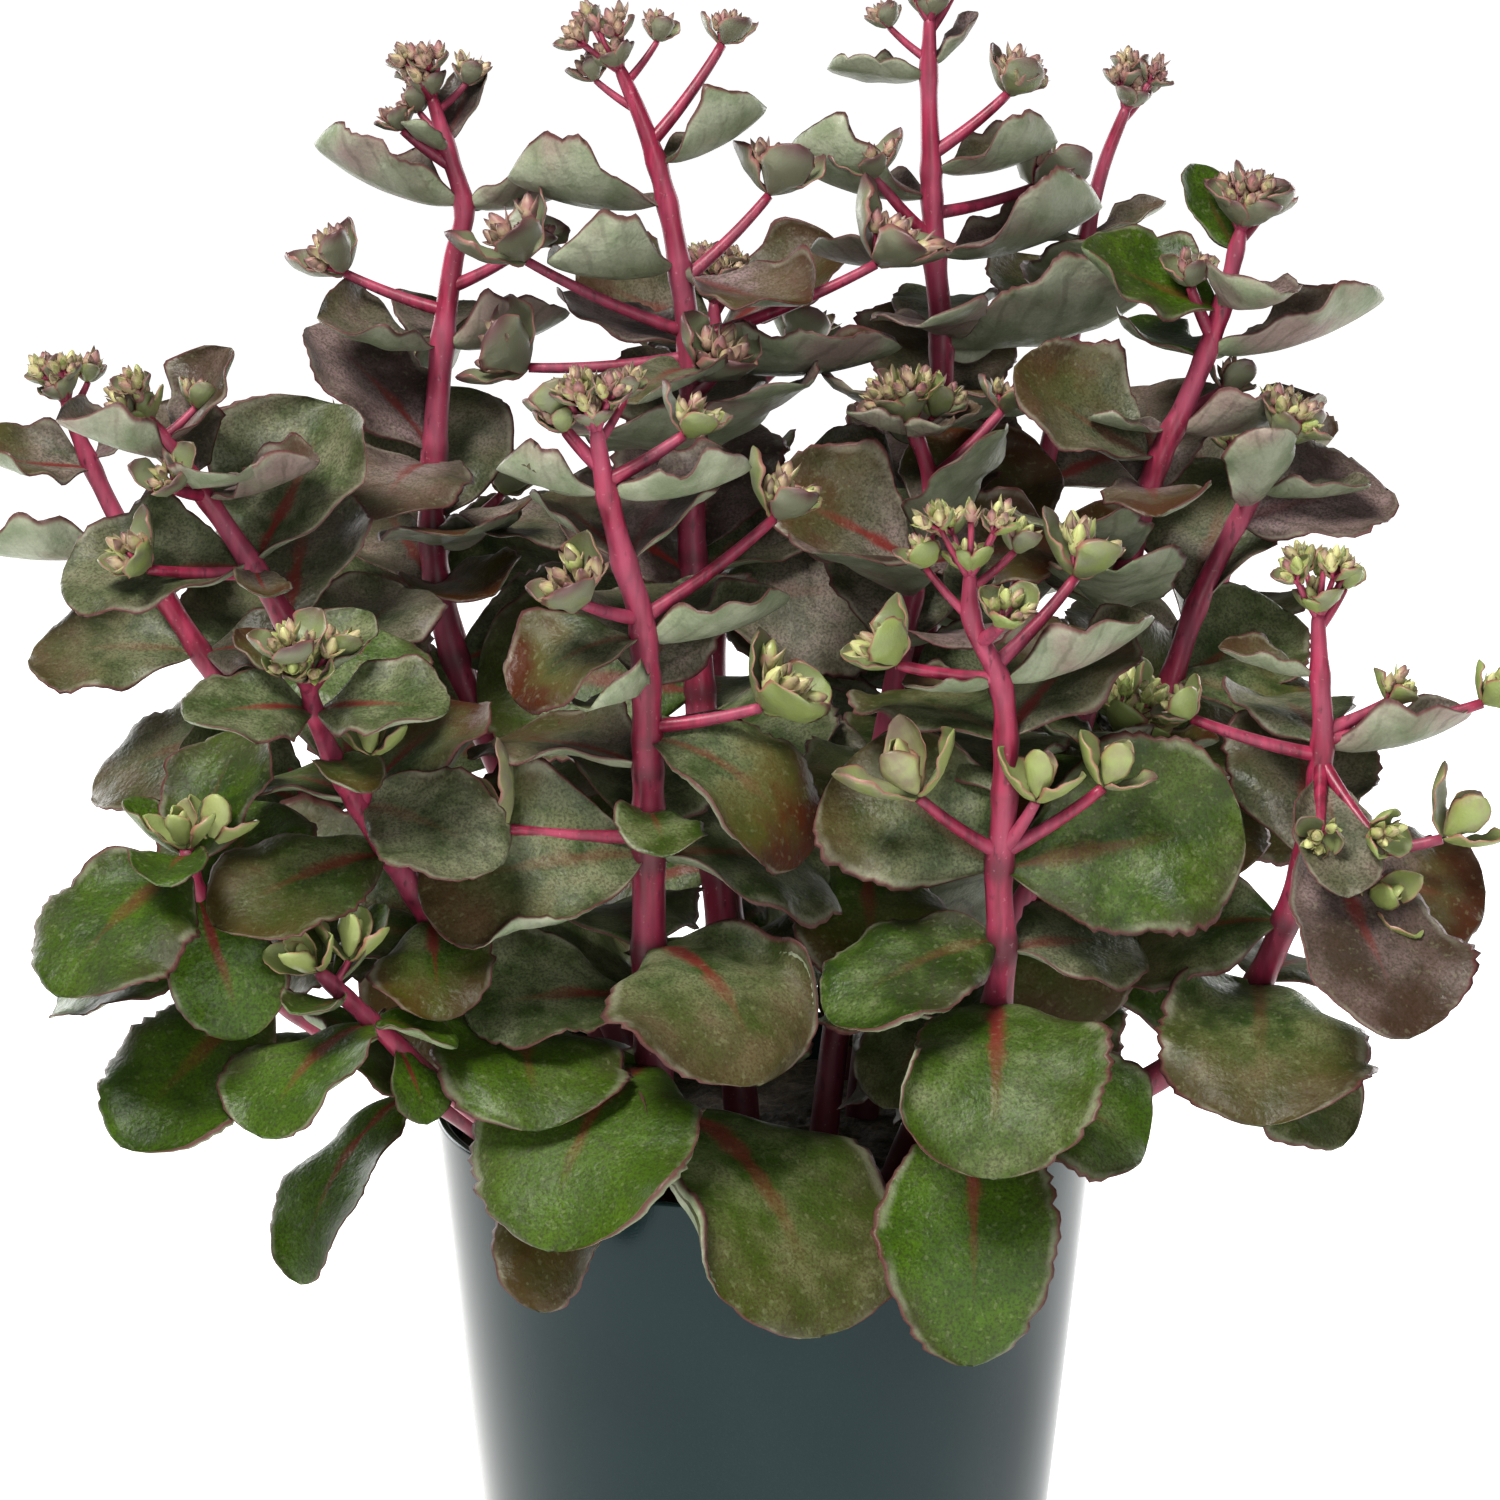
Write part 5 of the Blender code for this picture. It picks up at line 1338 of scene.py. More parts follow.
def add_bud(piece, end, axis, length, tint, draw):
    """One bud between three narrow fleshy leaflets that hug it."""
    first, second = cross_axes(axis)
    grid, poles, t, ribs = bud_grid(end, axis, 0.95 * length, 0.31 * length, draw.uniform(0, 6))
    piece.add(grid, poles, along=t, across=np.cos(5 * ribs) * np.ones_like(t), upper=0.0,
              tone=draw.random(), bronze=float(np.clip(tint + draw.normal(0, 0.2), 0, 1)),
              kind=1.0)
    turn = draw.uniform(0, 2 * math.pi)
    for i in range(3):
        angle = turn + 2 * math.pi * i / 3
        out = math.cos(angle) * first + math.sin(angle) * second
        forward = unit(out * draw.uniform(0.75, 1.2) + axis)
        blade = small_blade(end, forward, unit(axis - 0.3 * out), length * draw.uniform(0.8, 1.1),
                            length * draw.uniform(0.42, 0.56), 62, -38, draw.random())
        grid, poles, along, across, face = leaflet_grid(blade)
        piece.add(grid, poles, along=along, across=across, upper=face, tone=draw.random(),
                  bronze=float(np.clip(tint + draw.normal(0, 0.2), 0, 1)), kind=0.6)


def add_crown(piece, wood, end, axis, reach, size, tint, draw):
    """A fan of stalks at a stem's tip, each with a bud or a small head of buds."""
    first, second = cross_axes(axis)
    for i in range(CROWN_STALKS):
        angle = math.radians(GOLDEN_ANGLE) * i + draw.normal(0, 0.2)
        out = math.cos(angle) * first + math.sin(angle) * second
        heading = unit(axis + draw.uniform(0.35, 0.95) * out)
        run = curved_run(end - 1.5 * MM * axis, heading, reach * draw.uniform(0.5, 0.9), 0.15)
        wood.add(*tube_grid(run, np.linspace(0.95, 0.65, 6) * MM, 7), young=1.0)
        towards = unit(heading + 0.5 * axis)
        if i % 2:
            add_head(piece, wood, run[-1], towards, size, 2, tint, draw)
        else:
            add_bud(piece, run[-1], towards, 1.25 * size, tint, draw)


# %% [markdown]
# ## Wood
#
# The stems are round, waxy and raspberry pink, a little swollen where each pair of leaves sits.
# Each one is a tube along the same route as the solid one, with many more rings.

# %% Stems and branches
YOUNG_BELOW = 262 * MM
STEM_RING_STEP = 1.8 * MM
STEM_ROUND = 20
SWELLING = 0.45 * MM
SWELLING_REACH = 3.0 * MM
JOINT_DARKENS = 0.4


def fine_route(route, step):
    """The route resampled at even steps along its length."""
    run = np.vstack([route[0] - ROOT_DEPTH * UPWARD, route])
    travelled = np.concatenate([[0], np.cumsum(np.linalg.norm(np.diff(run, axis=0), axis=1))])
    even = np.linspace(0, travelled[-1], int(travelled[-1] / step) + 1)
    return np.stack([np.interp(even, travelled, run[:, axis]) for axis in range(3)], -1)


def add_stem(wood, stem, route, blades):
    """The main stem, with a swelling at the height of every leaf."""
    run = fine_route(route, STEM_RING_STEP)
    radii = stem_radius(stem, route, run[:, 2])
    joints = np.array([blade.root[2] for blade in blades])
    near = np.exp(-((run[:, 2][:, None] - joints[None, :]) / SWELLING_REACH) ** 2)
    swell = near.max(axis=1) if len(joints) else np.zeros(len(run))
    young = (run[:, 2] - SOIL_TOP) / (route[-1, 2] - SOIL_TOP)
    wood.add(*tube_grid(run, radii + SWELLING * swell, STEM_ROUND),
             young=np.clip(young, 0, 1) - JOINT_DARKENS * swell)


def add_shoot(piece, wood, shoot, tint, draw):
    """A side shoot: its branch, which narrows outwards, and its head."""
    u = np.linspace(0, 1, 12)
    run = shoot_axis(shoot, u)
    start = run[0] - shoot.sunk * shoot.forward
    run = np.vstack([start, run])
    radii = np.concatenate([[1.25], np.linspace(1.2, 0.85, 12)]) * shoot.radius
    wood.add(*tube_grid(run, radii, 10), young=0.75)
    if shoot.root[2] < YOUNG_BELOW:
        add_rosette(piece, run[-1], head_axis(shoot), shoot.size, tint, draw)
    else:
        add_head(piece, wood, run[-1], head_axis(shoot), shoot.size, 3, tint, draw)


# %% [markdown]
# ## Finishes
#
# Each finish is a small network of nodes on the standard shader. The colour of a leaf is built in
# layers, much as it grows: green in blotches, then the grey-green and mauve flush that light
# brings, then red-brown at the tip and red along the midrib, and last a thin wine-coloured edge.
# Every layer's strength comes from the values stored with the points, broken up by noise, so no
# two leaves are alike and no picture is needed.

# %% Short names for the nodes
class Finish:
    """A material and short ways to add nodes to it."""

    def __init__(self, name):
        self.material = bpy.data.materials.new(name)
        self.material.use_nodes = True
        self.tree = self.material.node_tree
        self.shader = self.tree.nodes["Principled BSDF"]
        place = self.tree.nodes.new("ShaderNodeTexCoord")
        self.place = place.outputs["Object"]

    def put(self, socket, value):
        """Links a node's output to a socket, or sets the socket to a plain value."""
        if isinstance(value, bpy.types.NodeSocket):
            self.tree.links.new(value, socket)
        elif isinstance(value, tuple):
            solid = len(value) == 3 and len(socket.default_value) == 4
            socket.default_value = (*value, 1) if solid else value
        else:
            socket.default_value = value

    def value(self, name):
        """A value stored with the points."""
        node = self.tree.nodes.new("ShaderNodeAttribute")
        node.attribute_name = name
        return node.outputs["Fac"]

    def sum(self, operation, first, second=0.0):
        """The result of a Math node: two values joined by the operation."""
        node = self.tree.nodes.new("ShaderNodeMath")
        node.operation = operation
        self.put(node.inputs[0], first)
        self.put(node.inputs[1], second)
        return node.outputs[0]

    def ramp(self, value, low, high, to_low=0.0, to_high=1.0):
        """The value eased from one range to another, smoothly and with no overshoot."""
        node = self.tree.nodes.new("ShaderNodeMapRange")
        node.interpolation_type = "SMOOTHSTEP"
        for socket, given in zip(node.inputs, (value, low, high, to_low, to_high)):
            self.put(socket, given)
        return node.outputs[0]

    def noise(self, scale, detail=3.0, stretch=None, shift=0.0):
        """Cloudy noise in the piece's own coordinates, stretched or shifted where asked."""
        node = self.tree.nodes.new("ShaderNodeTexNoise")
        place = self.place
        if stretch or shift:
            mapping = self.tree.nodes.new("ShaderNodeMapping")
            self.put(mapping.inputs["Vector"], place)
            self.put(mapping.inputs["Scale"], stretch or (1.0, 1.0, 1.0))
            self.put(mapping.inputs["Location"], (shift, shift, shift))
            place = mapping.outputs[0]
        self.put(node.inputs["Vector"], place)
        node.inputs["Scale"].default_value = scale
        node.inputs["Detail"].default_value = detail
        return node.outputs["Fac"]

    def mix(self, share, first, second):
        """A blend of two colours."""
        node = self.tree.nodes.new("ShaderNodeMix")
        node.data_type = "RGBA"
        self.put(node.inputs[0], share)
        self.put(node.inputs[6], first)
        self.put(node.inputs[7], second)
        return node.outputs[2]

    def bump(self, height, distance, strength=1.0, after=None):
        """A slope of the surface from a height, laid over an earlier one where given."""
        node = self.tree.nodes.new("ShaderNodeBump")
        node.inputs["Strength"].default_value = strength
        node.inputs["Distance"].default_value = distance
        self.put(node.inputs["Height"], height)
        if after:
            self.put(node.inputs["Normal"], after)
        return node.outputs[0]

    def finish(self, **sockets):
        """Puts each value on the shader's socket of that name, with underscores for spaces."""
        for name, value in sockets.items():
            self.put(self.shader.inputs[name.replace("_", " ")], value)
        return self.material


# %% The colours of a leaf
DEEP_GREEN = (0.009, 0.025, 0.001)
FULL_GREEN = (0.032, 0.070, 0.001)
OLIVE_SHADE = (0.020, 0.027, 0.004)
FRESH_GREEN = (0.054, 0.112, 0.005)
DARK_GREY_GREEN = (0.034, 0.048, 0.018)
PALE_GREY_GREEN = (0.138, 0.158, 0.080)
DARK_WINE = (0.034, 0.020, 0.020)
MAUVE = (0.205, 0.142, 0.142)
UNDER_GREEN = (0.150, 0.180, 0.108)
UNDER_PALE = (0.245, 0.268, 0.188)
UNDER_PINK = (0.215, 0.125, 0.130)
UNDER_FRESH = (0.085, 0.140, 0.035)
VEIN_SHADE = (0.030, 0.026, 0.014)
MOTTLE_SHADE = (0.012, 0.012, 0.006)
OLIVE_BROWN = (0.050, 0.041, 0.005)
DARK_BROWN = (0.012, 0.004, 0.002)
RED_BROWN = (0.062, 0.014, 0.003)
MIDRIB_RED = (0.120, 0.014, 0.012)
MARGIN_SHADE = (0.030, 0.021, 0.010)
WAX_SPECK = (0.24, 0.26, 0.14)
# a painted highlight: the pale band along a leaf's edge
PAINTED_RIM_HIGHLIGHT = (0.26, 0.25, 0.19)
WINE_EDGE = (0.075, 0.018, 0.020)


# %% The leaf finish
def leaf_finish():
    """Green, grey-green and mauve flush, pale under faces, side veins, brown tip, red midrib, dark
    margin, pale specks, a painted highlight along the rim and a wine edge, in that order."""
    f = Finish("orpine_leaf")
    along, across, upper = f.value("along"), f.value("across"), f.value("upper")
    tone, bronze, brown = f.value("tone"), f.value("bronze"), f.value("brown")
    middle = f.sum("ABSOLUTE", across)
    blotch = f.noise(42.0, 5.0)
    patch = f.noise(110.0, 6.0, shift=3.0)
    grain = f.noise(900.0, 3.0)
    # green that runs from deep to yellow-green in blotches
    green = f.mix(f.ramp(patch, 0.32, 0.68), DEEP_GREEN, FULL_GREEN)
    green = f.mix(f.ramp(blotch, 0.42, 0.7, 0.0, 0.6), green, OLIVE_SHADE)
    green = f.mix(f.sum("MULTIPLY", tone, 0.5), green, FRESH_GREEN)
    # upper faces: grey-green, then mauve and dark wine where the light has flushed them
    grey = f.mix(f.ramp(patch, 0.30, 0.72), DARK_GREY_GREEN, PALE_GREY_GREEN)
    mauve = f.mix(f.ramp(blotch, 0.36, 0.68), DARK_WINE, MAUVE)
    uneven = f.sum("MULTIPLY", f.sum("SUBTRACT", patch, 0.5), 0.6)
    flush = f.ramp(f.sum("ADD", bronze, uneven), 0.45, 0.95)
    top = f.mix(f.ramp(f.sum("ADD", bronze, uneven), 0.15, 0.55), green, f.mix(flush, grey, mauve))
    # under faces: pale and waxy, flushed pink here and there
    under = f.mix(f.ramp(patch, 0.35, 0.65), UNDER_GREEN, UNDER_PALE)
    pink = f.ramp(f.sum("ADD", f.sum("MULTIPLY", bronze, 0.35), blotch), 0.74, 0.98, 0.0, 0.7)
    under = f.mix(pink, under, UNDER_PINK)
    under = f.mix(f.ramp(bronze, 0.0, 0.4, 0.5, 0.0), under, UNDER_FRESH)
    colour = f.mix(upper, under, top)
    # side veins, faint and darker, that lean towards the tip, and a fine dark mottling
    reach = f.sum("ADD", f.sum("MULTIPLY", along, 34.0), f.sum("MULTIPLY", middle, -11.0))
    reach = f.sum("ADD", reach, f.sum("MULTIPLY", f.sum("ADD", tone, patch), 6.0))
    ribs = f.sum("MULTIPLY", f.ramp(f.sum("SINE", reach), 0.6, 1.0), f.ramp(blotch, 0.35, 0.65))
    colour = f.mix(f.sum("MULTIPLY", ribs, 0.30), colour, VEIN_SHADE)
    fine = f.noise(1500.0, 3.0, shift=5.0)
    mottled = f.ramp(fine, 0.58, 0.36, 0.0, 0.55)
    mottled = f.sum("MULTIPLY", mottled, f.ramp(upper, 0.0, 1.0, 0.2, 1.0))
    colour = f.mix(mottled, colour, MOTTLE_SHADE)
    # red-brown towards the tip and the margins of an old leaf
    tip = f.sum("ADD", along, f.sum("MULTIPLY", f.sum("SUBTRACT", patch, 0.5), 0.9))
    tip = f.sum("ADD", tip, f.sum("MULTIPLY", middle, 0.18))
    aged = f.sum("MULTIPLY", f.ramp(brown, 0.02, 0.6), upper)
    olive = f.sum("MULTIPLY", f.ramp(tip, 0.35, 0.75), aged)
    colour = f.mix(f.sum("MULTIPLY", olive, 0.8), colour, OLIVE_BROWN)
    worn = f.sum("MULTIPLY", f.ramp(tip, 0.62, 1.0), aged)
    colour = f.mix(worn, colour, f.mix(patch, DARK_BROWN, RED_BROWN))
    # the midrib, wide and wine-red at the root, fading by the leaf's middle
    width = f.ramp(along, 0.0, 0.8, 0.15, 0.035)
    width = f.sum("MULTIPLY", width, f.ramp(patch, 0.3, 0.7, 0.5, 1.4))
    near = f.sum("DIVIDE", middle, width)
    vein = f.sum("MULTIPLY", f.ramp(near, 1.7, 0.3), f.ramp(along, 0.86, 0.25))
    vein = f.sum("MULTIPLY", vein, f.ramp(tone, 0.1, 0.8, 0.25, 0.95))
    colour = f.mix(f.sum("MULTIPLY", vein, upper), colour, MIDRIB_RED)
    # a darker margin, pale specks of wax, a painted highlight as a thin pale rim, and a wine edge
    margin = f.sum("MULTIPLY", f.ramp(middle, 0.55, 0.95), f.ramp(blotch, 0.40, 0.62))
    margin = f.sum("MULTIPLY", margin, 0.5)
    colour = f.mix(f.sum("MULTIPLY", margin, upper), colour, MARGIN_SHADE)
    specks = f.ramp(f.noise(620.0, 2.0, shift=7.0), 0.60, 0.70)
    colour = f.mix(f.sum("MULTIPLY", specks, 0.14), colour, WAX_SPECK)
    # painted highlight: a thin pale band just inside the wine edge
    rim = f.sum("MULTIPLY", f.ramp(middle, 0.86, 0.93), f.ramp(patch, 0.38, 0.62))
    colour = f.mix(f.sum("MULTIPLY", rim, 0.32), colour, PAINTED_RIM_HIGHLIGHT)
    edge = f.ramp(middle, 0.94, 0.985)
    colour = f.mix(f.sum("MULTIPLY", edge, 0.85), colour, WINE_EDGE)
    rough = f.ramp(f.sum("ADD", blotch, f.sum("MULTIPLY", grain, 0.4)), 0.45, 0.95, 0.34, 0.58)
    relief = f.bump(grain, 0.0003, 0.6)
    relief = f.bump(f.noise(260.0, 3.0, shift=2.0), 0.0009, 0.6, relief)
    return f.finish(Base_Color=colour, Roughness=rough, Normal=relief, Specular_IOR_Level=0.19)


# %% The bud finish
BUD_GREEN = (0.23, 0.29, 0.07)
BUD_CREAM = (0.46, 0.46, 0.20)
BUD_TAN = (0.36, 0.27, 0.17)
BUD_ROSE = (0.24, 0.10, 0.10)
RIB_PINK = (0.30, 0.085, 0.075)
BRACT_GREEN = (0.165, 0.205, 0.058)
BRACT_GREY = (0.135, 0.140, 0.088)
BRACT_UPPER = (0.095, 0.120, 0.045)
BRACT_EDGE = (0.24, 0.065, 0.065)
BUD_TIP = (0.07, 0.020, 0.025)


def bud_finish():
    """Yellow-green buds with pink-brown ribs, and bracts that go from green to wine."""
    f = Finish("orpine_bud")
    along, across, kind = f.value("along"), f.value("across"), f.value("kind")
    tone, bronze, upper = f.value("tone"), f.value("bronze"), f.value("upper")
    patch = f.noise(230.0, 4.0)
    grain = f.noise(1500.0, 2.0)
    fresh = f.mix(tone, BUD_GREEN, BUD_CREAM)
    rosy = f.mix(f.ramp(patch, 0.35, 0.65), BUD_TAN, BUD_ROSE)
    bud = f.mix(f.ramp(f.sum("ADD", bronze, patch), 0.65, 1.4), fresh, rosy)
    rib = f.ramp(across, 0.45, 1.0)
    bud = f.mix(f.sum("MULTIPLY", rib, 0.65), bud, RIB_PINK)
    bronzed = f.ramp(f.sum("ADD", bronze, patch), 0.7, 1.3)
    bract = f.mix(bronzed, BRACT_GREEN, BRACT_GREY)
    bract = f.mix(f.sum("MULTIPLY", upper, 0.4), bract, BRACT_UPPER)
    edge = f.ramp(f.sum("ABSOLUTE", across), 0.84, 1.0)
    bract = f.mix(f.sum("MULTIPLY", edge, 0.85), bract, BRACT_EDGE)
    colour = f.mix(kind, bract, bud)
    tip = f.sum("MULTIPLY", f.ramp(along, 0.7, 1.0), f.ramp(bronze, 0.2, 0.8))
    colour = f.mix(tip, colour, BUD_TIP)
    rough = f.ramp(patch, 0.3, 0.7, 0.40, 0.58)
    return f.finish(Base_Color=colour, Roughness=rough, Normal=f.bump(grain, 0.0002, 0.5))


# %% The wood finish
DARK_RASPBERRY = (0.125, 0.007, 0.022)
RASPBERRY = (0.235, 0.016, 0.048)
FOOT_WINE = (0.070, 0.010, 0.018)
BLOOM_PINK = (0.36, 0.100, 0.165)
SCRATCH = (0.050, 0.006, 0.014)
PALE_DOT = (0.55, 0.36, 0.38)


def wood_finish():
    """Raspberry pink under a pale bloom, darker at the foot and at every joint."""
    f = Finish("orpine_wood")
    young = f.value("young")
    streak = f.noise(420.0, 3.0, stretch=(1.0, 1.0, 0.12))
    cloud = f.noise(60.0, 4.0, shift=4.0)
    red = f.mix(f.ramp(streak, 0.35, 0.65), DARK_RASPBERRY, RASPBERRY)
    deep = f.mix(f.ramp(young, 0.0, 0.45), FOOT_WINE, red)
    bloom = f.sum("MULTIPLY", f.ramp(cloud, 0.35, 0.7), f.ramp(young, 0.05, 0.6, 0.06, 0.28))
    colour = f.mix(bloom, deep, BLOOM_PINK)
    dark = f.ramp(f.noise(520.0, 4.0, stretch=(1.0, 1.0, 0.35), shift=6.0), 0.60, 0.72)
    colour = f.mix(f.sum("MULTIPLY", dark, 0.75), colour, SCRATCH)
    dots = f.ramp(f.noise(900.0, 2.0, shift=1.0), 0.66, 0.74)
    colour = f.mix(f.sum("MULTIPLY", dots, 0.15), colour, PALE_DOT)
    rough = f.ramp(cloud, 0.3, 0.7, 0.34, 0.5)
    return f.finish(Base_Color=colour, Roughness=rough, Normal=f.bump(streak, 0.0003, 0.4),
                    Specular_IOR_Level=0.3)


leaf_material = leaf_finish()
bud_material = bud_finish()
wood_material = wood_finish()
print("finishes:", leaf_material.name, bud_material.name, wood_material.name)

# %% [markdown]
# ## Dressing each stem
#
# Each stem is dressed with three pieces, one for each finish: its wood, its leaves and its heads
# of buds. They stand in for the stem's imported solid.

# %% Make the plant
LEAF_RING_STEP = 1.3 * MM
FEWEST_RINGS = 16
MOST_RINGS = 52
SMALL_LEAF = 28 * MM
SMALL_LEAF_THICK = 0.8
GREEN_TIP_BELOW = 240 * MM
TIP_TINT_OVER = 160 * MM
LEAST_CROWN = 4.5 * MM
LEAST_REACH = 9 * MM
LOOKS_SEED = 7


def leaf_rings(blade):
    """More rings for a larger leaf: its length over the step between rings, within limits."""
    return int(np.clip(blade.length / LEAF_RING_STEP, FEWEST_RINGS, MOST_RINGS))


def dress_stem(name, draw):
    """The wood, leaves and heads of one stem."""
    route, blades, shoots = growth[name]
    stem = STEMS[name]
    wood, leaves, heads = Patchwork(), Patchwork(), Patchwork()
    add_stem(wood, stem, route, blades)
    for blade in blades:
        bronze, brown = leaf_tint(name, blade, draw)
        small = blade.length < SMALL_LEAF
        thick = SMALL_LEAF_THICK if small else 1
        grid, poles, along, across, face = leaf_grid(
            blade, leaf_rings(blade), small, thick, leaf_fold(name, blade))
        leaves.add(grid, poles, along=along, across=across, upper=face, tone=draw.random(),
                   bronze=bronze, brown=brown)
    tint = float(np.clip((route[-1, 2] - GREEN_TIP_BELOW) / TIP_TINT_OVER, 0, 1))
    for shoot in shoots:
        add_shoot(heads, wood, shoot, float(np.clip(tint + draw.normal(0, 0.1), 0, 1)), draw)
    axis = tip_axis(route)
    size = stem.crown[2] * MM
    if route[-1, 2] < YOUNG_BELOW:
        add_rosette(heads, route[-1], axis, size, tint, draw)
    else:
        add_head(heads, wood, route[-1], axis, size, STEM_SIDES, tint, draw)
        reach = max(stem.crown[1] * MM, LEAST_REACH)
        add_crown(heads, wood, route[-1], axis, reach, max(0.9 * size, LEAST_CROWN), tint, draw)
    made = []
    for part, patchwork, material in (("wood", wood, wood_material), ("leaves", leaves, leaf_material),
                                      ("heads", heads, bud_material)):
        obj = patchwork.make(name + "_" + part, material)
        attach(obj, "root")
        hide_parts(name)
        made.append(patchwork.triangles())
    return made


draw = np.random.default_rng(LOOKS_SEED)
counts = {name: dress_stem(name, draw) for name in STEMS}
print("triangles:", sum(map(sum, counts.values())), "largest piece:", max(map(max, counts.values())))

# %% [markdown]
# ## Pot and potting mix
#
# The pot is a plain moulded shape turned from a profile: slightly tapered, with its rim and foot
# eased. A spin of the profile could make it too, but the rings are one line of arrays here. Its
# surface is dark satin slate, and most of what shows on it is the light from each side. The mix is
# dark and crumbly, so its surface is a disc of small lumps that never rises to the rim.

# %% The pot
POT_ROUND = 256
FOOT_EASE = 2 * MM
RIM_EASE = 1.25 * MM
FLOOR_EASE = 3 * MM
CENTRE_RADIUS = 8 * MM


def turned_rings(profile, sides):
    """Rings from (radius, height) points: x = radius cos a and y = radius sin a, all round."""
    profile = np.asarray(profile)
    angle = 2 * math.pi * np.arange(sides) / sides
    return np.stack([profile[:, :1] * np.cos(angle), profile[:, :1] * np.sin(angle),
                     np.repeat(profile[:, 1:], sides, axis=1)], -1)


def rounded(corners, radii, steps=8):
    """A profile whose corners are eased by a quadratic curve, starting a radius away on each side."""
    points = []
    count = len(corners)
    corners = np.array(corners, float)
    for i, radius in enumerate(radii):
        if radius == 0 or i in (0, count - 1):
            points.append(corners[i])
            continue
        before = corners[i] + radius * unit(corners[i - 1] - corners[i])
        after = corners[i] + radius * unit(corners[i + 1] - corners[i])
        t = np.linspace(0, 1, steps)[:, None]
        points += list((1 - t) ** 2 * before + 2 * t * (1 - t) * corners[i] + t**2 * after)
    return np.array(points)


def pot_profile():
    """From the middle of the base, up the outside, over the rim and down to the middle of the floor."""
    slope = (POT_TOP_RADIUS - POT_BASE_RADIUS) / POT_HEIGHT
    inner_floor = POT_BASE_RADIUS + slope * POT_FLOOR - POT_WALL
    inner_top = POT_TOP_RADIUS - POT_WALL
    corners = [(CENTRE_RADIUS, 0), (POT_BASE_RADIUS, 0), (POT_TOP_RADIUS, POT_HEIGHT),
               (inner_top, POT_HEIGHT), (inner_floor, POT_FLOOR), (CENTRE_RADIUS, POT_FLOOR)]
    return rounded(corners, [0, FOOT_EASE, RIM_EASE, RIM_EASE, FLOOR_EASE, 0])


DARK_SLATE = (0.006, 0.012, 0.014)
SLATE = (0.008, 0.016, 0.018)
SLATE_GRAIN = (0.012, 0.024, 0.026)


def slate_finish():
    """Satin slate, nearly black in itself, very slightly clouded, with a fine grain."""
    f = Finish("pot_satin")
    cloud = f.noise(14.0, 3.0)
    grain = f.noise(2600.0, 2.0)
    colour = f.mix(f.ramp(cloud, 0.3, 0.7), DARK_SLATE, SLATE)
    colour = f.mix(f.ramp(grain, 0.45, 0.75, 0.0, 0.5), colour, SLATE_GRAIN)
    rough = f.ramp(cloud, 0.3, 0.7, 0.11, 0.15)
    relief = f.bump(grain, 0.00008, 0.4)
    return f.finish(Base_Color=colour, Roughness=rough, Normal=relief, Specular_IOR_Level=0.18,
                    Specular_Tint=(0.72, 0.96, 1.0))


pot = Patchwork()
profile = pot_profile()
rings = turned_rings(profile, POT_ROUND)
pot.add(rings, np.array([[0, 0, 0], [0, 0, POT_FLOOR]]))
pot_object = pot.make("pot_fine", slate_finish())
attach(pot_object, "root")
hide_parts("pot")
print("pot:", pot.triangles(), "triangles,", len(profile), "points in its profile")


# %% The potting mix
MIX_RINGS = 56
MIX_ROUND = 180
WAVES = 14
COARSE_LUMP = 1.1 * MM
FINE_LUMP = 0.6 * MM
MIX_SINKS = 1.2 * MM
SHOULDER = 2 * MM


def lumps(x, y, scale, seed):
    """Low bumps: the sum of waves in random directions, about -1 to 1."""
    rng = np.random.default_rng(seed)
    total = np.zeros_like(x)
    for _ in range(WAVES):
        angle, phase = rng.uniform(0, 2 * math.pi, 2)
        wave = scale * rng.uniform(0.5, 2.0)
        total += np.sin(wave * (x * math.cos(angle) + y * math.sin(angle)) + phase)
    return total / 6


def soil_grid():
    """The mix: a flat base, a side that follows the pot and a lumpy top."""
    slope = (POT_TOP_RADIUS - POT_BASE_RADIUS) / POT_HEIGHT
    wall = POT_WALL + GAP
    low = POT_FLOOR + GAP
    foot = POT_BASE_RADIUS + slope * low - wall
    top = POT_BASE_RADIUS + slope * SOIL_TOP - wall
    shares = np.linspace(1, 0.02, MIX_RINGS)
    profile = [(0.5 * foot, low), (foot, low), (top, SOIL_TOP - SHOULDER)]
    profile += [(0.995 * top * share, SOIL_TOP) for share in shares]
    rings = turned_rings(profile, MIX_ROUND)
    x, y = rings[3:, :, 0], rings[3:, :, 1]
    rise = COARSE_LUMP * lumps(x, y, 420, 1) + FINE_LUMP * lumps(x, y, 1300, 2)
    rings[3:, :, 2] += rise - MIX_SINKS
    return rings, np.array([[0, 0, low], [0, 0, rings[-1, :, 2].mean()]])


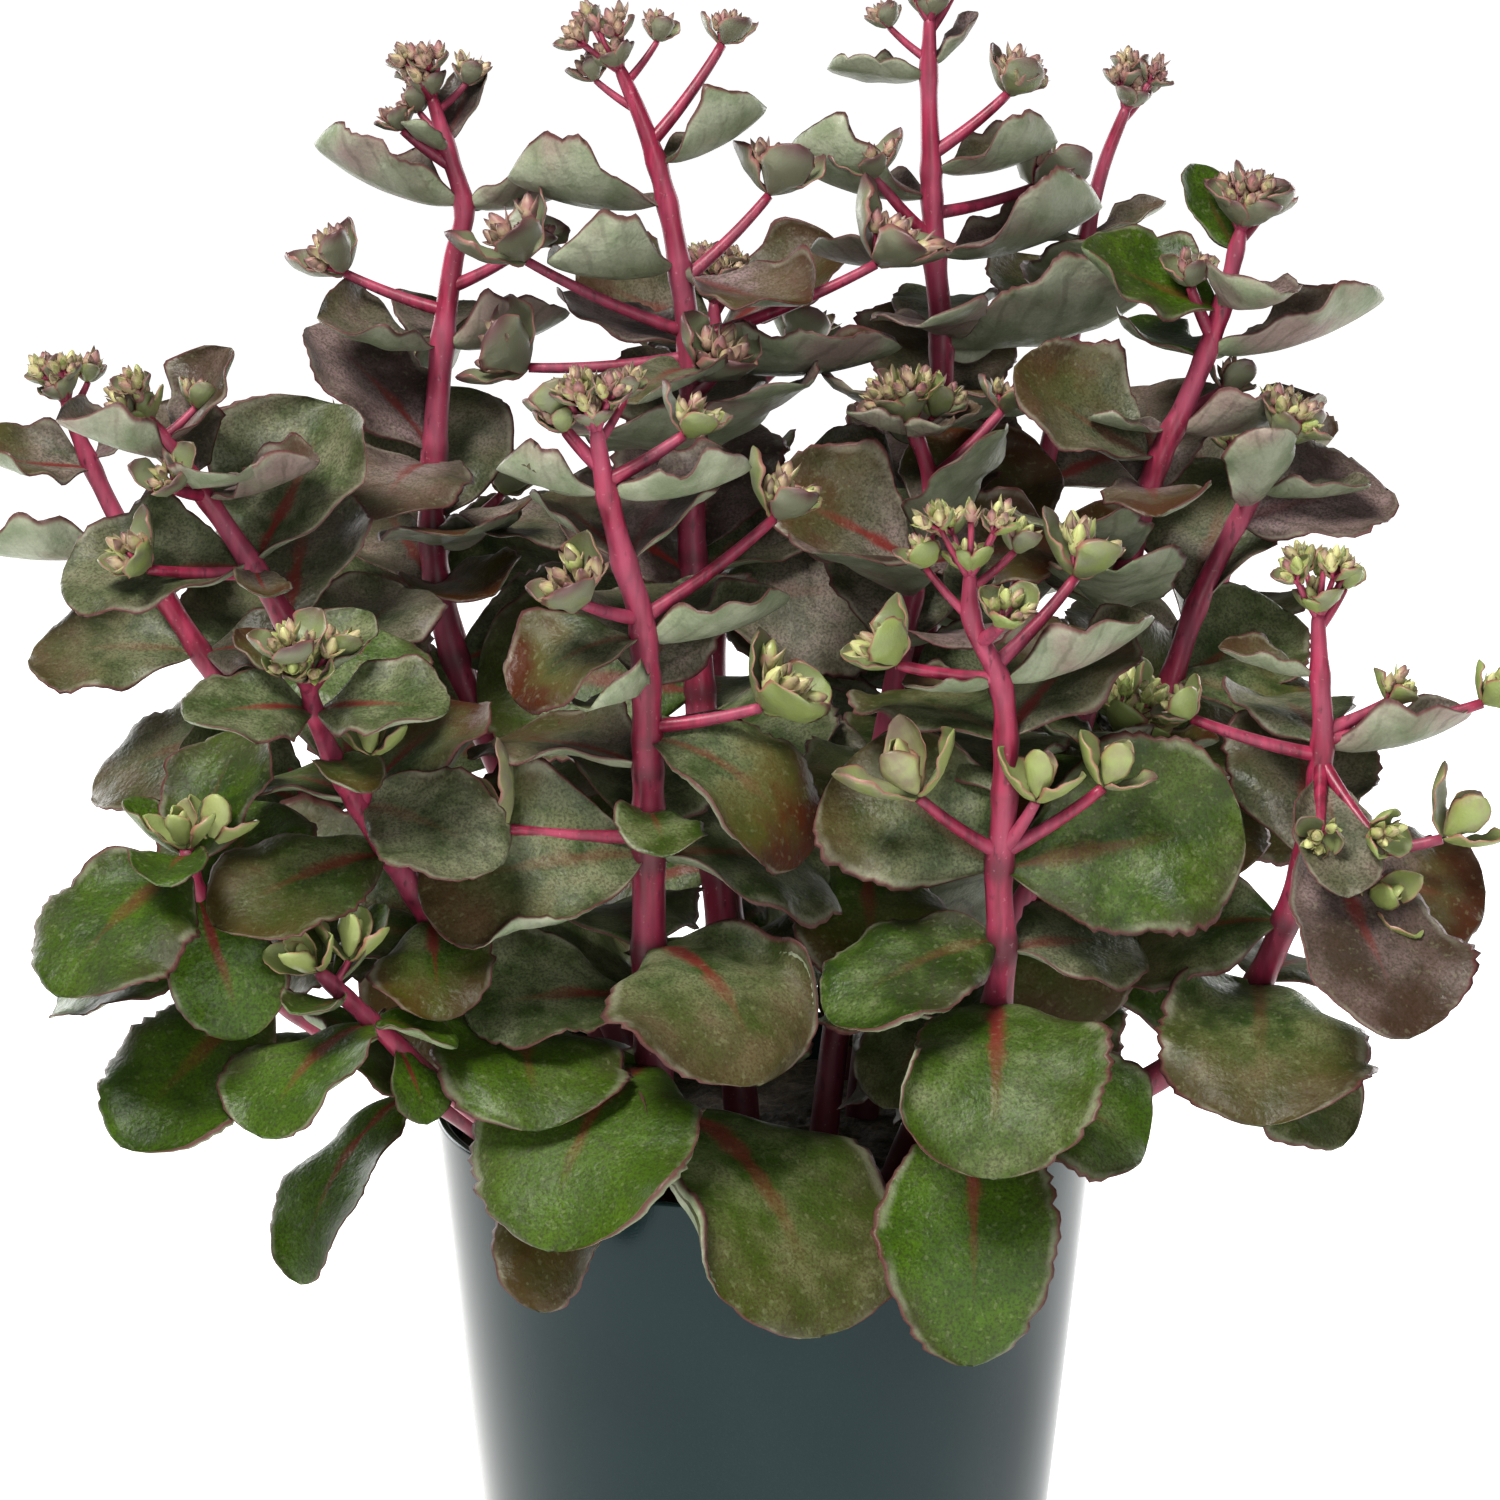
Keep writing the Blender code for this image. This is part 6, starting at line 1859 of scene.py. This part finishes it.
DARK_PEAT = (0.010, 0.007, 0.005)
PEAT = (0.050, 0.032, 0.020)
PALE_GRAIN = (0.20, 0.17, 0.13)


def mix_finish():
    """Dark peat with lighter fibres and pale grains."""
    f = Finish("peat")
    crumb = f.noise(420.0, 5.0)
    grain = f.noise(1700.0, 3.0)
    colour = f.mix(f.ramp(crumb, 0.35, 0.7), DARK_PEAT, PEAT)
    colour = f.mix(f.ramp(grain, 0.68, 0.76, 0.0, 0.6), colour, PALE_GRAIN)
    relief = f.bump(crumb, 0.002, 0.9)
    return f.finish(Base_Color=colour, Roughness=f.ramp(grain, 0.3, 0.7, 0.8, 0.98), Normal=relief)


soil = Patchwork()
soil.add(*soil_grid())
soil_object = soil.make("potting_mix_fine", mix_finish())
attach(soil_object, "root")
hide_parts("soil")
print("potting mix:", soil.triangles(), "triangles")

# %% [markdown]
# ## The floor
#
# A wide, pale, matt floor runs far behind the plant, so that it fills the whole background. It
# gives back a little light of its own, as a lit studio sweep does, and so reads as white.

# %% Lay the floor
FLOOR_HALF = 40.0
FLOOR_FRONT = -6
FLOOR_BACK = 120
CARD = (0.80, 0.80, 0.80)
LIGHT_CARD = (0.82, 0.82, 0.82)


def floor_finish():
    """White card with the faintest mottling."""
    f = Finish("white_card")
    cloud = f.noise(2.0, 2.0)
    colour = f.mix(cloud, CARD, LIGHT_CARD)
    return f.finish(Base_Color=colour, Roughness=f.ramp(cloud, 0.3, 0.7, 0.85, 0.95),
                    Normal=f.bump(f.noise(300.0), 0.0002, 0.2), Emission_Color=(1.0, 1.0, 1.0),
                    Emission_Strength=0.96)


floor_mesh = bpy.data.meshes.new("floor")
corners = [(-FLOOR_HALF, FLOOR_FRONT, 0), (FLOOR_HALF, FLOOR_FRONT, 0),
           (FLOOR_HALF, FLOOR_BACK, 0), (-FLOOR_HALF, FLOOR_BACK, 0)]
floor_mesh.from_pydata(corners, [], [(0, 1, 2, 3)])
floor_mesh.materials.append(floor_finish())
floor = bpy.data.objects.new("floor", floor_mesh)
bpy.context.scene.collection.objects.link(floor)
